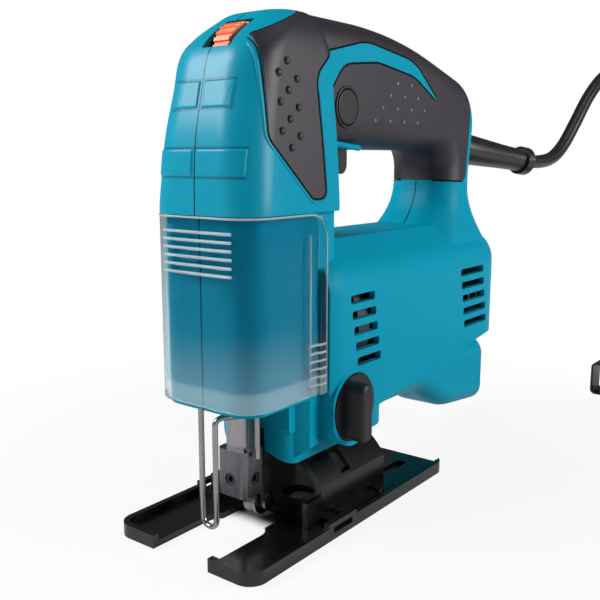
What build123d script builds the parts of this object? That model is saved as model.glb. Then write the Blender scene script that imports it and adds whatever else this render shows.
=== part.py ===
"""Corded jigsaw: moulded housing with rubber grips, motor and gears, plunger, tilting sole, cord.

Millimetres. X points forward along the cut, Y to the user's left, Z up. The origin is where the blade's
axis crosses the plane of the sole.
"""
import os
from math import acos, asin, atan2, cos, degrees, pi, radians, sin, sqrt, tan

from build123d import *

os.makedirs("parts", exist_ok=True)

# Fits
seat_gap = 0.05            # radial play of a piece seated in a moulded or turned seat
running_gap = 0.06         # radial play of a shaft in its bore
moving_gap = 0.4           # room between bodies that pass each other
mould_gap = 0.25           # groove between the rubber and the hard moulding

# Sole plate
sole_length = 137.0
sole_width = 70.0
sole_front_x = 34.0
sole_sheet = 2.5
sole_corner = 7.0
rim_height = 5.2
rim_wall = 2.6
notch_width = 28.0
notch_end_x = -2.0
roller_slot_width = 22.0
roller_slot_end_x = -17.6
fence_bar_width = 12.5
fence_bar_thickness = 2.4
fence_x = -19.5
fence_wall = 2.0
rear_slot_length = 16.0
rear_slot_width = 5.0
rear_slot_x = -86.0

# Bevel bracket and its clamp
tilt_axis_z = 1.0
tilt_limit = 45.0
arch_radius = 30.0
arch_sheet = 2.5
arch_half_width = 25.5
arch_front_x = -18.0
arch_rear_x = -64.0
leg_front_x = -9.0
leg_top_z = 13.0
foot_width = 5.5
foot_sheet = 2.0
rivet_diameter = 4.0
rivet_inset = 9.0
rivet_height = 0.9
seat_angle = 18.0
sole_travel = 12.0
bolt_x = -36.0
bolt_diameter = 6.0
bolt_head_diameter = 10.0
bolt_head_height = 5.0
bolt_socket = 5.0
washer_half_width = 6.0
washer_thickness = 2.0
nut_width = 12.0
nut_height = 5.0
nut_z = 40.0

# Housing: head, handle, motor barrel, dust duct and foot
wall = 2.8
nose_x = 22.5
head_half_width = 25.0
head_rear_x = -35.0
head_corner = 12.0
head_rear_corner = 8.0
ledge_z = 124.0
head_top_z = 196.0
grip_half_width = 18.0
grip_round = 12.0
grip_top_z = 197.0
grip_bottom_z = 147.0
grip_front_x = -8.0
tail_x = -166.0
tail_top_z = 177.0
post_rear_x = -159.0
post_front_x = -131.0
post_neck_z = 128.0
barrel_half_width = 29.0
barrel_front_x = -8.0
barrel_rear_x = -180.0
barrel_top_z = 112.0
shoulder_z = 99.0
shoulder_inset = 14.0
shoulder_round = 16.0
barrel_front_round = 22.0
barrel_rear_round = 27.0
crease_x = -62.0
crease_z = 43.5
crease_slope = 7.3
crease_drop = 7.0
crease_inset = 10.5
throat_bottom_z = 53.0
foot_half_width = 18.0
foot_front_x = -7.2
foot_rear_x = -80.0
duct_half_width = 17.0
duct_round = 9.0
duct_rear_x = -177.0
duct_top_z = 46.0
duct_bottom_z = 10.0
duct_belly_z = 32.0

# Rubber grips
rubber = 1.6

# Clear dust cover and finger guard
cover_sheet = 2.0
cover_gap = 0.5
cover_bottom_z = 55.0
cover_rear_x = -20.5
cover_travel = 20.0
rail_width = 4.5
rail_height = 1.2
wire_diameter = 2.2
wire_spacing = 7.0
wire_x = 18.0
wire_bottom_z = 6.0
wire_top_z = 58.0
wire_turn_x = 8.5
wire_tail_x = 1.0
wire_tail_z = 31.0

# Vents
vent_height = 3.5
vent_round = 1.0
front_vent_length = 17.0
rear_vent_length = 24.0
vent_count = 5
front_vent_x = -40.5
rear_vent_x = -137.0
vent_top_z = 89.5
vent_pitch = 6.4
vent_stagger = 1.3

# Motor
motor_z = 76.0
shaft_diameter = 8.0
shaft_rear_x = -166.0
core_diameter = 30.0
core_rear_x = -128.0
core_length = 44.0
commutator_diameter = 22.0
commutator_length = 16.0
commutator_rear_x = -152.0
fan_diameter = 46.0
fan_length = 10.0
fan_rear_x = -62.0
fan_blades = 12
stator_diameter = 50.6
stator_bore = 31.2
stator_rear_x = -130.0
stator_length = 48.0
bearing_diameter = 22.0
bearing_width = 7.0
rear_bearing_x = -163.0
brush_width = 7.0
brush_height = 5.0
brush_length = 10.0
brush_wall = 1.5

# Gears: module and tooth counts give the stroke train's ratio
gear_module = 0.8
pinion_teeth = 9
gear_teeth = 42
pressure_angle = 20.0
addendum_share = 0.55
dedendum_share = 0.85
backlash = 0.16
pinion_rear_x = -33.0
pinion_length = 12.0
gear_rear_x = -31.0
gear_width = 7.0
axle_diameter = 8.0
stroke = 18.0
crank_pin_diameter = 6.0

# Plunger, its casting and the blade clamp
rod_width = 10.0
rod_depth = 7.0
rod_bottom_z = 28.0
rod_top_z = 150.0
bush_wall = 2.0
casting_front_x = 8.0
casting_rear_x = -50.0
casting_frame_x = -18.0
casting_floor = 8.0
casting_half_width = 17.5
casting_cheek = 3.5
casting_top_z = 142.0
bulkhead = 8.0
yoke_width = 26.0
yoke_height = 12.0
yoke_depth = 8.0
clamp_width = 14.0
clamp_depth = 13.0
clamp_bottom_z = 15.0
clamp_top_z = 33.5
shank_slot = 1.8
shank_width = 9.0
clamp_screw_diameter = 5.0
clamp_screw_z = 22.0

# Guide roller
roller_x = -9.6
roller_z = 8.5
roller_diameter = 11.0
roller_width = 6.0
roller_groove = 1.5
arm_cheek = 1.8
arm_pivot_x = -11.0
arm_pivot_z = 36.0
arm_pin_diameter = 3.0
arm_width = 6.0
arm_swing = 4.0
arm_pin_length = 20.0

# Orbit lever
lever_x = -35.5
lever_z = 46.0
lever_disc_diameter = 27.0
lever_floor_y = 24.6
lever_shaft_diameter = 8.0
lever_fin_height = 24.0
lever_fin_width = 8.0
lever_fin_reach = 9.0
lever_fin_offset = 4.5
lever_shaft_end_y = 11.0

# Controls
dial_x = 1.0
dial_z = 180.0
dial_y = 3.0
dial_diameter = 21.0
dial_width = 7.0
dial_slot_width = 13.0
dial_slot_y = 2.0
dial_bore = 4.0
trigger_front_x = -37.5
trigger_length = 22.0
trigger_width = 15.0
trigger_bottom_z = 137.0
trigger_travel = 6.0
trigger_flange = 3.0
lock_x = -44.0
lock_z = 163.0
lock_diameter = 13.5
lock_travel = 3.0
lock_proud = 0.8
switch_length = 42.0
switch_height = 22.0
switch_width = 20.0
switch_front_x = -38.0
controller_rear_x = -33.0
controller_length = 20.0
controller_width = 22.0
controller_height = 12.0
controller_z = 173.0

# Housing screws: X, Z and depth of the head's seat from the middle plane
screw_places = [
    (9.5, 158.0, 18.8), (-26.5, 134.0, 21.5), (-71.0, 100.0, 21.0),
    (-146.0, 122.0, 15.5), (-72.0, 53.0, 25.0), (-161.0, 59.0, 23.0),
]
screw_diameter = 4.0
screw_head_diameter = 7.0
screw_head_height = 2.6
screw_reach = 9.5
boss_diameter = 9.0

# Dust port
port_bore = 22.0
port_wall = 1.8
port_depth = 26.0
port_z = 28.0

# Cord, its guard, coil and plug
cord_diameter = 7.5
cord_exit = Vector(-164.5, 0.0, 149.5)
guard_end = Vector(-221.5, 18.0, 141.4)
guard_root_diameter = 16.5
guard_tip_diameter = 12.6
collar_diameter = 15.4
collar_length = 5.0
cord_clamp_width = 25.0
coil_centre = Vector(-275.0, 105.0, 0.0)
coil_radius = 51.0
coil_gap = 0.9
coil_turns = 6
tie_width = 14.0
tie_strap = 1.2
plug_tail = 48.0
plug_length = 34.0
plug_width = 30.0
plug_neck = 13.0
pin_diameter = 4.8
pin_length = 19.0
pin_spacing = 19.0


# The route of the free cord, from the guard's end to the coil's first turn.
coil_bottom = tie_strap + coil_gap / 2
coil_z = coil_bottom + cord_diameter / 2
coil_start = Vector(coil_centre.X, coil_centre.Y + coil_radius, coil_z)
cord_route = [
    guard_end, Vector(-241, 22, 140.2), Vector(-259, 24.3, 147), Vector(-277, 25.6, 163),
    Vector(-296, 27, 182), Vector(-318, 30, 197), Vector(-341, 38, 204), Vector(-360, 54, 202),
    Vector(-371, 78, 189), Vector(-372, 104, 163), Vector(-367, 127, 127), Vector(-361, 144, 87),
    Vector(-350, 153, 47), Vector(-330, 156, 17), coil_start - Vector(26, 0, 0), coil_start,
]


def cord_radii(route):
    """Largest tangent arc that each corner's two runs leave room for."""
    radii = []
    for before, corner, after in zip(route, route[1:], route[2:]):
        turn = radians((corner - before).get_angle(after - corner))
        shorter = min((corner - before).length, (after - corner).length)
        radii.append(0.45 * shorter / tan(turn / 2))
    return radii


# Sizes that follow from the ones above
gear_radius = gear_module * gear_teeth / 2
pinion_radius = gear_module * pinion_teeth / 2
gear_z = motor_z + gear_radius + pinion_radius
crank_radius = stroke / 2
gear_front_x = gear_rear_x + gear_width
yoke_rear_x = -rod_depth / 2 - yoke_depth
crank_pin_tip_x = yoke_rear_x - moving_gap
yoke_z = gear_z - crank_radius
throat_inset = cover_sheet + cover_gap
barrel_inner = barrel_half_width - wall
lever_face_y = barrel_half_width + moving_gap
seat_radius = arch_radius + moving_gap
wire_tail_y = clamp_width / 2 + wire_diameter
casting_floor_z = throat_bottom_z + wall
arm_outer = roller_width / 2 + moving_gap + arm_cheek
arm_room_rear_x = arch_front_x
foot_top_z = nut_z + nut_height + wall
flange_z = grip_bottom_z + wall + 2 * moving_gap
switch_z = flange_z + trigger_flange + trigger_travel + moving_gap
fence_top_z = sole_sheet + fence_bar_thickness
guard_length = (guard_end - cord_exit).length
window_angle = tilt_limit + degrees(asin((bolt_diameter / 2 + moving_gap) / (arch_radius - arch_sheet)))
window_z = tilt_axis_z + (arch_radius - arch_sheet) * cos(radians(window_angle))
far = 400.0                # longer than anything it cuts


def column(x, z, radius, y_from, y_to):
    """A round bar along Y between two heights from the middle plane."""
    with BuildPart() as bar:
        with BuildSketch(Plane.XZ.offset(-y_from)):
            with Locations((x, z)):
                Circle(radius)
        extrude(amount=y_from - y_to)
    return bar.part


def bar_along_x(y, z, radius, x_from, x_to):
    """A round bar along X."""
    with BuildPart() as bar:
        with BuildSketch(Plane.YZ.offset(x_from)):
            with Locations((y, z)):
                Circle(radius)
        extrude(amount=x_to - x_from)
    return bar.part


def block(x_from, x_to, y_from, y_to, z_from, z_to):
    """A plain block between six planes."""
    with BuildPart() as box:
        with BuildSketch(Plane.XY.offset(z_from)):
            with Locations(((x_from + x_to) / 2, (y_from + y_to) / 2)):
                Rectangle(x_to - x_from, y_to - y_from)
        extrude(amount=z_to - z_from)
    return box.part


def nose_outline(front_x, rear_x, half_width, front_round, rear_round):
    """Plan of the head: round at the front, with smaller rounds at the rear."""
    return FilletPolyline(
        (front_x, -half_width), (front_x, half_width), (rear_x, half_width), (rear_x, -half_width),
        radius=[front_round, front_round, rear_round, rear_round], close=True,
    )


# Head sections: height, set back at the front, drawn in at the sides, front round added
head_sections = [
    (ledge_z, 0.0, 0.0, 0.0), (ledge_z + 5, 0.05, 0.1, 0.4), (138.0, 0.3, 0.6, 1.5),
    (150.0, 1.3, 1.3, 2.0), (160.0, 3.3, 2.1, 2.0), (170.0, 5.7, 2.8, 2.0), (180.0, 9.0, 3.6, 2.0),
    (187.0, 16.0, 5.2, 1.0), (192.5, 24.5, 8.0, -1.0), (head_top_z, 32.5, 12.0, -4.0),
]


def head_form(inset):
    """Upper head: plan sections that lean back to the crown, all drawn in by the inset."""
    with BuildPart() as form:
        for z, back, narrow, rounder in head_sections:
            low = inset if z > dial_z + dial_diameter / 3 else 0
            with BuildSketch(Plane.XY.offset(z - low)):
                with BuildLine():
                    nose_outline(
                        nose_x - back - inset, head_rear_x + back / 6 + inset,
                        head_half_width - narrow - inset,
                        head_corner + rounder - inset, head_rear_corner - inset,
                    )
                make_face()
        loft()
    return form.part


def throat_form(inset):
    """Lower head behind the clear cover, stepped in so that the cover lies flush."""
    step = throat_inset + inset
    with BuildPart() as form:
        with BuildSketch(Plane.XY.offset(throat_bottom_z + inset)):
            with BuildLine():
                nose_outline(nose_x - step, head_rear_x + inset, head_half_width - step,
                             head_corner - step, head_rear_corner - inset)
            make_face()
        extrude(amount=ledge_z + 2 - throat_bottom_z - inset)
    return form.part


def handle_form(inset):
    """Grip and rear post as one bow with well rounded edges."""
    hidden_round = grip_round + 1
    with BuildPart() as form:
        with BuildSketch(Plane.XZ):
            with BuildLine():
                FilletPolyline(
                    (grip_front_x, grip_top_z), (-88, grip_top_z), (tail_x, tail_top_z),
                    (post_rear_x, post_neck_z + 4), (post_rear_x - 9, shoulder_z - 12),
                    (post_front_x + 27, shoulder_z - 12), (post_front_x, post_neck_z - 4),
                    (post_front_x, grip_bottom_z), (grip_front_x, grip_bottom_z),
                    radius=[hidden_round, 260, 24, 50, hidden_round, hidden_round, 34, 9, hidden_round],
                    close=True,
                )
            make_face()
            offset(amount=-inset, kind=Kind.ARC)
        extrude(amount=grip_half_width - inset, both=True)
        sides = form.faces().filter_by(Axis.Y).sort_by(Axis.Y)
        fillet(sides[0].edges() + sides[-1].edges(), grip_round - inset)
    return form.part


# Skirt that spreads the post into the barrel: height, front, rear, half width, corner round
skirt_sections = [
    (134.0, post_front_x, post_rear_x - 0.3, grip_half_width, grip_round),
    (124.0, -129.0, -160.5, 18.6, 13.0), (114.0, -122.0, -164.5, 20.8, 15.0),
    (104.0, -110.0, -170.5, 24.4, 18.0), (94.0, -100.0, -176.0, 27.6, 22.0),
    (84.0, -94.0, -179.0, 28.9, 25.0),
]


def skirt_form(inset):
    """Foot of the rear post, spreading smoothly into the barrel's round end."""
    with BuildPart() as form:
        for z, front_x, rear_x, half_width, corner in skirt_sections:
            with BuildSketch(Plane.XY.offset(z)):
                with BuildLine():
                    nose_outline(front_x - inset, rear_x + inset, half_width - inset,
                                 corner - inset, corner - inset)
                make_face()
        loft()
    return form.part


def barrel_form(inset):
    """Motor barrel: round ends in plan, sloping shoulders, and an underside that rises to the rear."""
    half = barrel_half_width - inset
    with BuildPart() as form:
        with BuildSketch(Plane.XY.offset(throat_bottom_z - 30)):
            with BuildLine():
                nose_outline(barrel_front_x - inset, barrel_rear_x + inset, half,
                             barrel_front_round - inset, barrel_rear_round - inset)
            make_face()
        extrude(amount=shoulder_z - throat_bottom_z + 30 - inset / 2)
        extrude(form.faces().sort_by(Axis.Z)[-1], amount=barrel_top_z - shoulder_z - inset / 2,
                taper=degrees(atan2(shoulder_inset, barrel_top_z - shoulder_z)))
        level = shoulder_z - inset / 2
        fillet(form.edges().filter_by_position(Axis.Z, level - moving_gap, level + moving_gap),
               shoulder_round - inset)
        slope = radians(crease_slope)
        keel = Plane(origin=(crease_x, 0, crease_z - crease_drop), x_dir=(0, -1, 0),
                     z_dir=(-cos(slope), 0, sin(slope)))
        with BuildSketch(keel):
            floor = barrel_half_width - crease_inset
            reach = crease_drop / crease_inset
            with BuildLine():
                Polyline((-floor, inset), (floor, inset), (floor + far / 4, inset + far / 4 * reach),
                         (floor + far / 4, far), (-floor - far / 4, far),
                         (-floor - far / 4, inset + far / 4 * reach), close=True)
            make_face()
        extrude(amount=far, both=True, mode=Mode.INTERSECT)
    return form.part


def duct_form(inset):
    """Dust duct under the barrel, dropping to a round mouth that is cut square at the rear."""
    spare = 2 * duct_round
    with BuildPart() as form:
        with BuildSketch(Plane.XZ):
            with BuildLine():
                FilletPolyline(
                    (foot_rear_x + 12, duct_top_z + 12), (foot_rear_x + 12, duct_belly_z),
                    (-113, duct_belly_z), (-141, duct_bottom_z + 6), (duct_rear_x - spare, duct_bottom_z),
                    (duct_rear_x - spare, duct_top_z), (-150, duct_top_z + 4),
                    radius=[duct_round + 1, duct_round + 1, 30, 40, duct_round + 1, duct_round + 1, 60],
                    close=True,
                )
            make_face()
            offset(amount=-inset, kind=Kind.ARC)
        extrude(amount=duct_half_width - inset, both=True)
        sides = form.faces().filter_by(Axis.Y).sort_by(Axis.Y)
        fillet(sides[0].edges() + sides[-1].edges(), duct_round - inset)
        split(bisect_by=Plane.YZ.offset(duct_rear_x + inset), keep=Keep.TOP)
    return form.part


def bracket_room(x_from, x_to):
    """Room for the arched bracket: its cylinder, and above it the two flats of a shallow vee that seat on it."""
    slope = radians(seat_angle)
    wide = foot_half_width + wall
    with BuildPart() as room:
        add(bar_along_x(0, tilt_axis_z, seat_radius, x_from, x_to))
        with BuildSketch(Plane.YZ.offset(x_from)):
            with BuildLine():
                edge_z = tilt_axis_z + (seat_radius - wide * sin(slope)) / cos(slope)
                Polyline((-wide, tilt_axis_z), (-wide, edge_z), (0, tilt_axis_z + seat_radius / cos(slope)),
                         (wide, edge_z), (wide, tilt_axis_z), close=True)
            make_face()
        extrude(amount=x_to - x_from)
    return room.part


def foot_form():
    """Solid foot under the gears, hollowed below in a shallow vee to sit on the arched bracket."""
    with BuildPart() as form:
        with BuildSketch(Plane.XY.offset(tilt_axis_z + arch_radius / 2)):
            with BuildLine():
                nose_outline(foot_front_x, foot_rear_x, foot_half_width, 6, 12)
            make_face()
        extrude(amount=foot_top_z - tilt_axis_z - arch_radius / 2)
        add(block(casting_rear_x, foot_front_x, -foot_half_width, foot_half_width, nut_z, throat_bottom_z))
        add(bracket_room(-far / 2, far / 2), mode=Mode.SUBTRACT)
        fillet(form.faces().sort_by(Axis.X)[-1].edges().filter_by(Axis.Y), 2)
        split(bisect_by=Plane.XZ, keep=Keep.BOTTOM)
    return form.part


def upper_form(inset):
    """Left half of the head and the handle, drawn in by the inset."""
    with BuildPart() as form:
        add(head_form(inset))
        add(handle_form(inset))
        split(bisect_by=Plane.XZ, keep=Keep.BOTTOM)
    return form.part


def housing_form(upper, inset):
    """Left half of everything the housing encloses, without the solid foot."""
    with BuildPart() as form:
        add(throat_form(inset))
        add(barrel_form(inset))
        add(skirt_form(inset))
        add(duct_form(inset))
        split(bisect_by=Plane.XZ, keep=Keep.BOTTOM)
        add(upper)
    return form.part


upper_outer = upper_form(0)
outer = housing_form(upper_outer, 0)
inner = housing_form(upper_form(wall), wall)
under_rubber = upper_form(rubber)


# Room that the cover slides in, cut out of the barrel beside the rails
with BuildPart() as cover_path:
    with BuildSketch(Plane.XY.offset(cover_bottom_z - cover_travel - 10)):
        Rectangle(2 * (nose_x - cover_rear_x + moving_gap), far)
        with BuildLine():
            nose_outline(nose_x - throat_inset, head_rear_x - far / 4, head_half_width - throat_inset,
                         head_corner - throat_inset, 4)
        make_face(mode=Mode.SUBTRACT)
    extrude(amount=ledge_z - cover_bottom_z + cover_travel + 10)
    split(bisect_by=Plane.YZ.offset(cover_rear_x - moving_gap), keep=Keep.TOP)


def grip_outline():
    """Side view of the rubber: head panel, top strip and grip, with a hard crescent left bare."""
    return FilletPolyline(
        (10, 150), (-13, 129), (-21, 129), (-18.5, 173), (-30, 183), (-58, 189.5), (-96, 185),
        (-124, 165), (-96, 178), (-66, 181.5), (-42, 179), (-33, 168), (-36, 150), (-58, 148.5),
        (-64, 140), (-122, 139), (-128, 133), (-148, 132), (-151, 160), (-152, 205), (-20, 205),
        (-17, 195.5), (8.5, 185),
        radius=[6, 4, 3, 9, 14, 40, 30, 1, 30, 30, 12, 6, 3, 2, 4, 3, 3, 4, 50, 3, 3, 4, 4], close=True,
    )


def rubber_skin(shrink):
    """The outermost layer of the housing inside the grip's outline."""
    with BuildPart() as skin:
        add(upper_outer)
        add(under_rubber, mode=Mode.SUBTRACT)
        with BuildSketch(Plane.XZ):
            with BuildLine():
                grip_outline()
            make_face()
            offset(amount=-shrink, kind=Kind.ARC)
        extrude(amount=far, both=True, mode=Mode.INTERSECT)
        add(trigger_hole, mode=Mode.SUBTRACT)
    return skin.part


lock_hole = column(lock_x, lock_z, lock_diameter / 2 + moving_gap, grip_half_width / 2, barrel_half_width)
trigger_hole = block(
    trigger_front_x - trigger_length - moving_gap, trigger_front_x + moving_gap,
    -trigger_width / 2 - moving_gap, trigger_width / 2 + moving_gap,
    trigger_bottom_z, grip_bottom_z + wall + 1,
)
dial_hole = column(dial_x, dial_z, dial_diameter / 2 + 1.2,
                   dial_slot_y - dial_slot_width / 2, dial_slot_y + dial_slot_width / 2)
guard_axis = (guard_end - cord_exit).normalized()


def carrier_webs():
    """Cross walls inside one half that hold the motor, the switch and the speed controller."""
    with BuildPart() as webs:
        add(block(rear_bearing_x, rear_bearing_x + bearing_width, 0, far, motor_z - 24, motor_z + 24))
        add(bar_along_x(0, motor_z, bearing_diameter / 2 + seat_gap, -far, far), mode=Mode.SUBTRACT)
        for x in (stator_rear_x, stator_rear_x + stator_length - wall):
            add(block(x, x + wall, 0, far, motor_z - 40, motor_z + 34))
        add(block(stator_rear_x - 1, stator_rear_x + stator_length + 1, -far, far, 0, motor_z - 31),
            mode=Mode.SUBTRACT)
        add(bar_along_x(0, motor_z, stator_diameter / 2 + seat_gap, stator_rear_x - 1,
                        stator_rear_x + stator_length + 1), mode=Mode.SUBTRACT)
        for x in (switch_front_x - switch_length, switch_front_x - switch_length / 2):
            add(block(x, x + wall, switch_width / 2, far, switch_z, switch_z + switch_height))
        add(block(controller_rear_x, controller_rear_x + wall, controller_width / 2, far,
                  controller_z, controller_z + controller_height))
        add(inner, mode=Mode.INTERSECT)
    return webs.part


with BuildPart() as bosses:
    for x, z, seat in screw_places:
        add(column(x, z, boss_diameter / 2, 0, far / 8))
    add(outer, mode=Mode.INTERSECT)

with BuildPart() as screw_holes:
    for x, z, seat in screw_places:
        add(column(x, z, screw_diameter / 2, -far / 8, screw_reach + moving_gap))
        add(column(x, z, screw_head_diameter / 2, -far / 8, -seat))

# Openings that both halves share: vents, bevel clamp, roller arm, trigger, plunger and dust port
with BuildPart() as openings:
    for row in range(vent_count):
        with BuildSketch(Plane.XZ.offset(2 * wall - barrel_half_width)):
            with Locations((front_vent_x - row * vent_stagger, vent_top_z - row * vent_pitch)):
                RectangleRounded(front_vent_length, vent_height, vent_round)
            with Locations((rear_vent_x - row * vent_stagger, vent_top_z - row * vent_pitch)):
                RectangleRounded(rear_vent_length, vent_height, vent_round)
        extrude(amount=-far / 8)
    clamp_room_rear_x = bolt_x - sole_travel
    add(block(clamp_room_rear_x - bolt_diameter / 2 - moving_gap, bolt_x + bolt_diameter / 2 + moving_gap,
              -bolt_diameter / 2 - moving_gap, bolt_diameter / 2 + moving_gap, 0, nut_z + 1))
    add(block(clamp_room_rear_x - nut_width / 2 - moving_gap, bolt_x + nut_width / 2 + moving_gap,
              -nut_width / 2 - moving_gap, nut_width / 2 + moving_gap,
              nut_z - moving_gap, nut_z + nut_height + moving_gap))
    add(block(arm_room_rear_x, 0, -arm_outer - moving_gap, arm_outer + moving_gap, 0,
              arm_pivot_z + arm_width / 2 + 1))
    add(column(arm_pivot_x, arm_pivot_z, arm_pin_diameter / 2 + seat_gap, 0, arm_pin_length / 2))
    add(bracket_room(arch_rear_x - sole_travel - wall, 0))
    add(trigger_hole)
    add(block(-rod_depth / 2 - 2, rod_depth / 2 + 2, -rod_width / 2 - 2, rod_width / 2 + 2,
              0, throat_bottom_z + wall + 0.5))
    add(bar_along_x(0, port_z, port_bore / 2 + port_wall, duct_rear_x - 1, duct_rear_x + port_depth))
    add(cover_path.part)

# Openings that are not alike on both sides: speed dial, cord guard and the finger guard's leg
with BuildPart() as odd_openings:
    add(dial_hole)
    with BuildSketch(Plane(origin=tuple(cord_exit - guard_axis * 20), z_dir=tuple(guard_axis))):
        Circle(guard_root_diameter / 2 + seat_gap)
    extrude(amount=60)
    with BuildSketch(Plane.XY.offset(throat_bottom_z - 1)):
        with Locations((wire_x, -wire_spacing / 2)):
            Circle(wire_diameter / 2 + seat_gap)
    extrude(amount=wire_top_z - throat_bottom_z + 1)
    add(screw_holes.part)

with BuildPart() as shell:
    add(outer)
    add(inner, mode=Mode.SUBTRACT)
    add(foot_form())
    add(bosses.part)
    add(carrier_webs())
    add(rubber_skin(0), mode=Mode.SUBTRACT)
    add(openings.part, mode=Mode.SUBTRACT)

with BuildPart() as housing_left:
    add(shell.part)
    add(column(lever_x, lever_z, lever_disc_diameter / 2 + 2.2, lever_floor_y - wall, barrel_half_width))
    add(cover_path.part, mode=Mode.SUBTRACT)
    add(column(lever_x, lever_z, lever_disc_diameter / 2 + moving_gap, lever_floor_y - moving_gap,
               barrel_half_width + 1), mode=Mode.SUBTRACT)
    add(column(lever_x, lever_z, lever_shaft_diameter / 2 + running_gap, lever_shaft_end_y,
               barrel_half_width), mode=Mode.SUBTRACT)
    add(lock_hole, mode=Mode.SUBTRACT)
    add(odd_openings.part, mode=Mode.SUBTRACT)
housing_left.part.label = "housing_left"
export_step(housing_left.part, "parts/housing_left.step")

with BuildPart() as housing_right:
    mirror(shell.part, about=Plane.XZ)
    add(odd_openings.part, mode=Mode.SUBTRACT)
housing_right.part.label = "housing_right"
export_step(housing_right.part, "parts/housing_right.step")

skin = rubber_skin(mould_gap)
with BuildPart() as grip_left:
    add(skin)
    add(lock_hole, mode=Mode.SUBTRACT)
    add(odd_openings.part, mode=Mode.SUBTRACT)
grip_left.part.label = "grip_left"
export_step(grip_left.part, "parts/grip_left.step")

with BuildPart() as grip_right:
    mirror(skin, about=Plane.XZ)
    add(odd_openings.part, mode=Mode.SUBTRACT)
grip_right.part.label = "grip_right"
export_step(grip_right.part, "parts/grip_right.step")

with BuildPart() as housing_screws:
    for x, z, seat in screw_places:
        add(column(x, z, screw_diameter / 2 - seat_gap, -seat, screw_reach))
        add(column(x, z, screw_head_diameter / 2 - seat_gap, -seat - screw_head_height, -seat))
        socket = Plane(origin=(x, -seat - screw_head_height, z), z_dir=(0, -1, 0))
        with BuildSketch(socket):
            RegularPolygon(screw_head_diameter / 4, 6)
        extrude(amount=-screw_head_height / 2, mode=Mode.SUBTRACT)
housing_screws.part.label = "housing_screws"
export_step(housing_screws.part, "parts/housing_screws.step")

# Clear dust cover: a U-shaped sheet with thick rails at its rear edges
with BuildPart() as dust_cover:
    cover_height = ledge_z - moving_gap - cover_bottom_z
    with BuildSketch(Plane.XY.offset(cover_bottom_z)):
        with BuildLine():
            nose_outline(nose_x, cover_rear_x - 40, head_half_width, head_corner, 4)
        make_face()
        offset(amount=-cover_sheet, mode=Mode.SUBTRACT)
    extrude(amount=cover_height)
    for side in (1, -1):
        rail_y = side * head_half_width
        add(block(cover_rear_x, cover_rear_x + rail_width, min(rail_y, rail_y + side * rail_height),
                  max(rail_y, rail_y + side * rail_height), cover_bottom_z, cover_bottom_z + cover_height))
    split(bisect_by=Plane.YZ.offset(cover_rear_x), keep=Keep.TOP)
    upright = dust_cover.edges().filter_by(Axis.Y).group_by(Axis.Z)[-1]
    fillet(upright.filter_by(lambda edge: edge.center().X < cover_rear_x + 1), 8)
dust_cover.part.label = "dust_cover"
export_step(dust_cover.part, "parts/dust_cover.step")

# Finger guard: one bent wire
with BuildPart() as finger_guard:
    half = wire_spacing / 2
    with BuildLine() as wire_path:
        FilletPolyline(
            (wire_x, -half, wire_top_z), (wire_x, -half, wire_bottom_z + wire_diameter / 2),
            (wire_x, half, wire_bottom_z + wire_diameter / 2), (wire_x, half, throat_bottom_z - 3),
            (wire_turn_x, wire_tail_y, throat_bottom_z - 3),
            (wire_tail_x, wire_tail_y, throat_bottom_z - 3), (wire_tail_x, wire_tail_y, wire_tail_z),
            radius=[half - 0.1, half - 0.1, 3, 3, 3],
        )
    with BuildSketch(Plane(origin=(wire_x, -half, wire_top_z), z_dir=(0, 0, -1))):
        Circle(wire_diameter / 2)
    sweep(path=wire_path.wires()[0])
finger_guard.part.label = "finger_guard"
export_step(finger_guard.part, "parts/finger_guard.step")

# Gear casting: bulkhead with the front bearing, floor, and the frame with the plunger's two guides
with BuildPart() as gear_casting:
    add(bar_along_x(0, motor_z, barrel_inner - seat_gap, casting_rear_x, casting_rear_x + bulkhead))
    add(block(casting_rear_x, casting_front_x, -casting_half_width, casting_half_width,
              casting_floor_z, casting_floor_z + casting_floor))
    add(block(casting_frame_x, casting_front_x, -casting_half_width, casting_half_width,
              casting_floor_z, casting_top_z))
    window = casting_half_width - casting_cheek
    add(block(casting_frame_x - 1, casting_front_x + 1, -window, window,
              casting_floor_z + casting_floor, casting_top_z - casting_floor), mode=Mode.SUBTRACT)
    add(block(-far, far, -far, far, 0, casting_floor_z), mode=Mode.SUBTRACT)
    add(bar_along_x(0, motor_z, bearing_diameter / 2 + seat_gap, casting_rear_x - 1,
                    casting_rear_x + bulkhead + 1), mode=Mode.SUBTRACT)
    add(bar_along_x(0, gear_z, axle_diameter / 2 + seat_gap, casting_rear_x - 1,
                    casting_rear_x + bulkhead + 1), mode=Mode.SUBTRACT)
    bush_x = rod_depth / 2 + bush_wall + seat_gap
    bush_y = rod_width / 2 + bush_wall + seat_gap
    add(block(-bush_x, bush_x, -bush_y, bush_y, 0, far), mode=Mode.SUBTRACT)
gear_casting.part.label = "gear_casting"
export_step(gear_casting.part, "parts/gear_casting.step")

with BuildPart() as plunger_bushes:
    for z in (casting_floor_z, casting_top_z - casting_floor):
        add(block(-bush_x + seat_gap, bush_x - seat_gap, -bush_y + seat_gap, bush_y - seat_gap,
                  z, z + casting_floor))
    add(block(-rod_depth / 2 - running_gap, rod_depth / 2 + running_gap, -rod_width / 2 - running_gap,
              rod_width / 2 + running_gap, 0, far), mode=Mode.SUBTRACT)
plunger_bushes.part.label = "plunger_bushes"
export_step(plunger_bushes.part, "parts/plunger_bushes.step")


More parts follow.
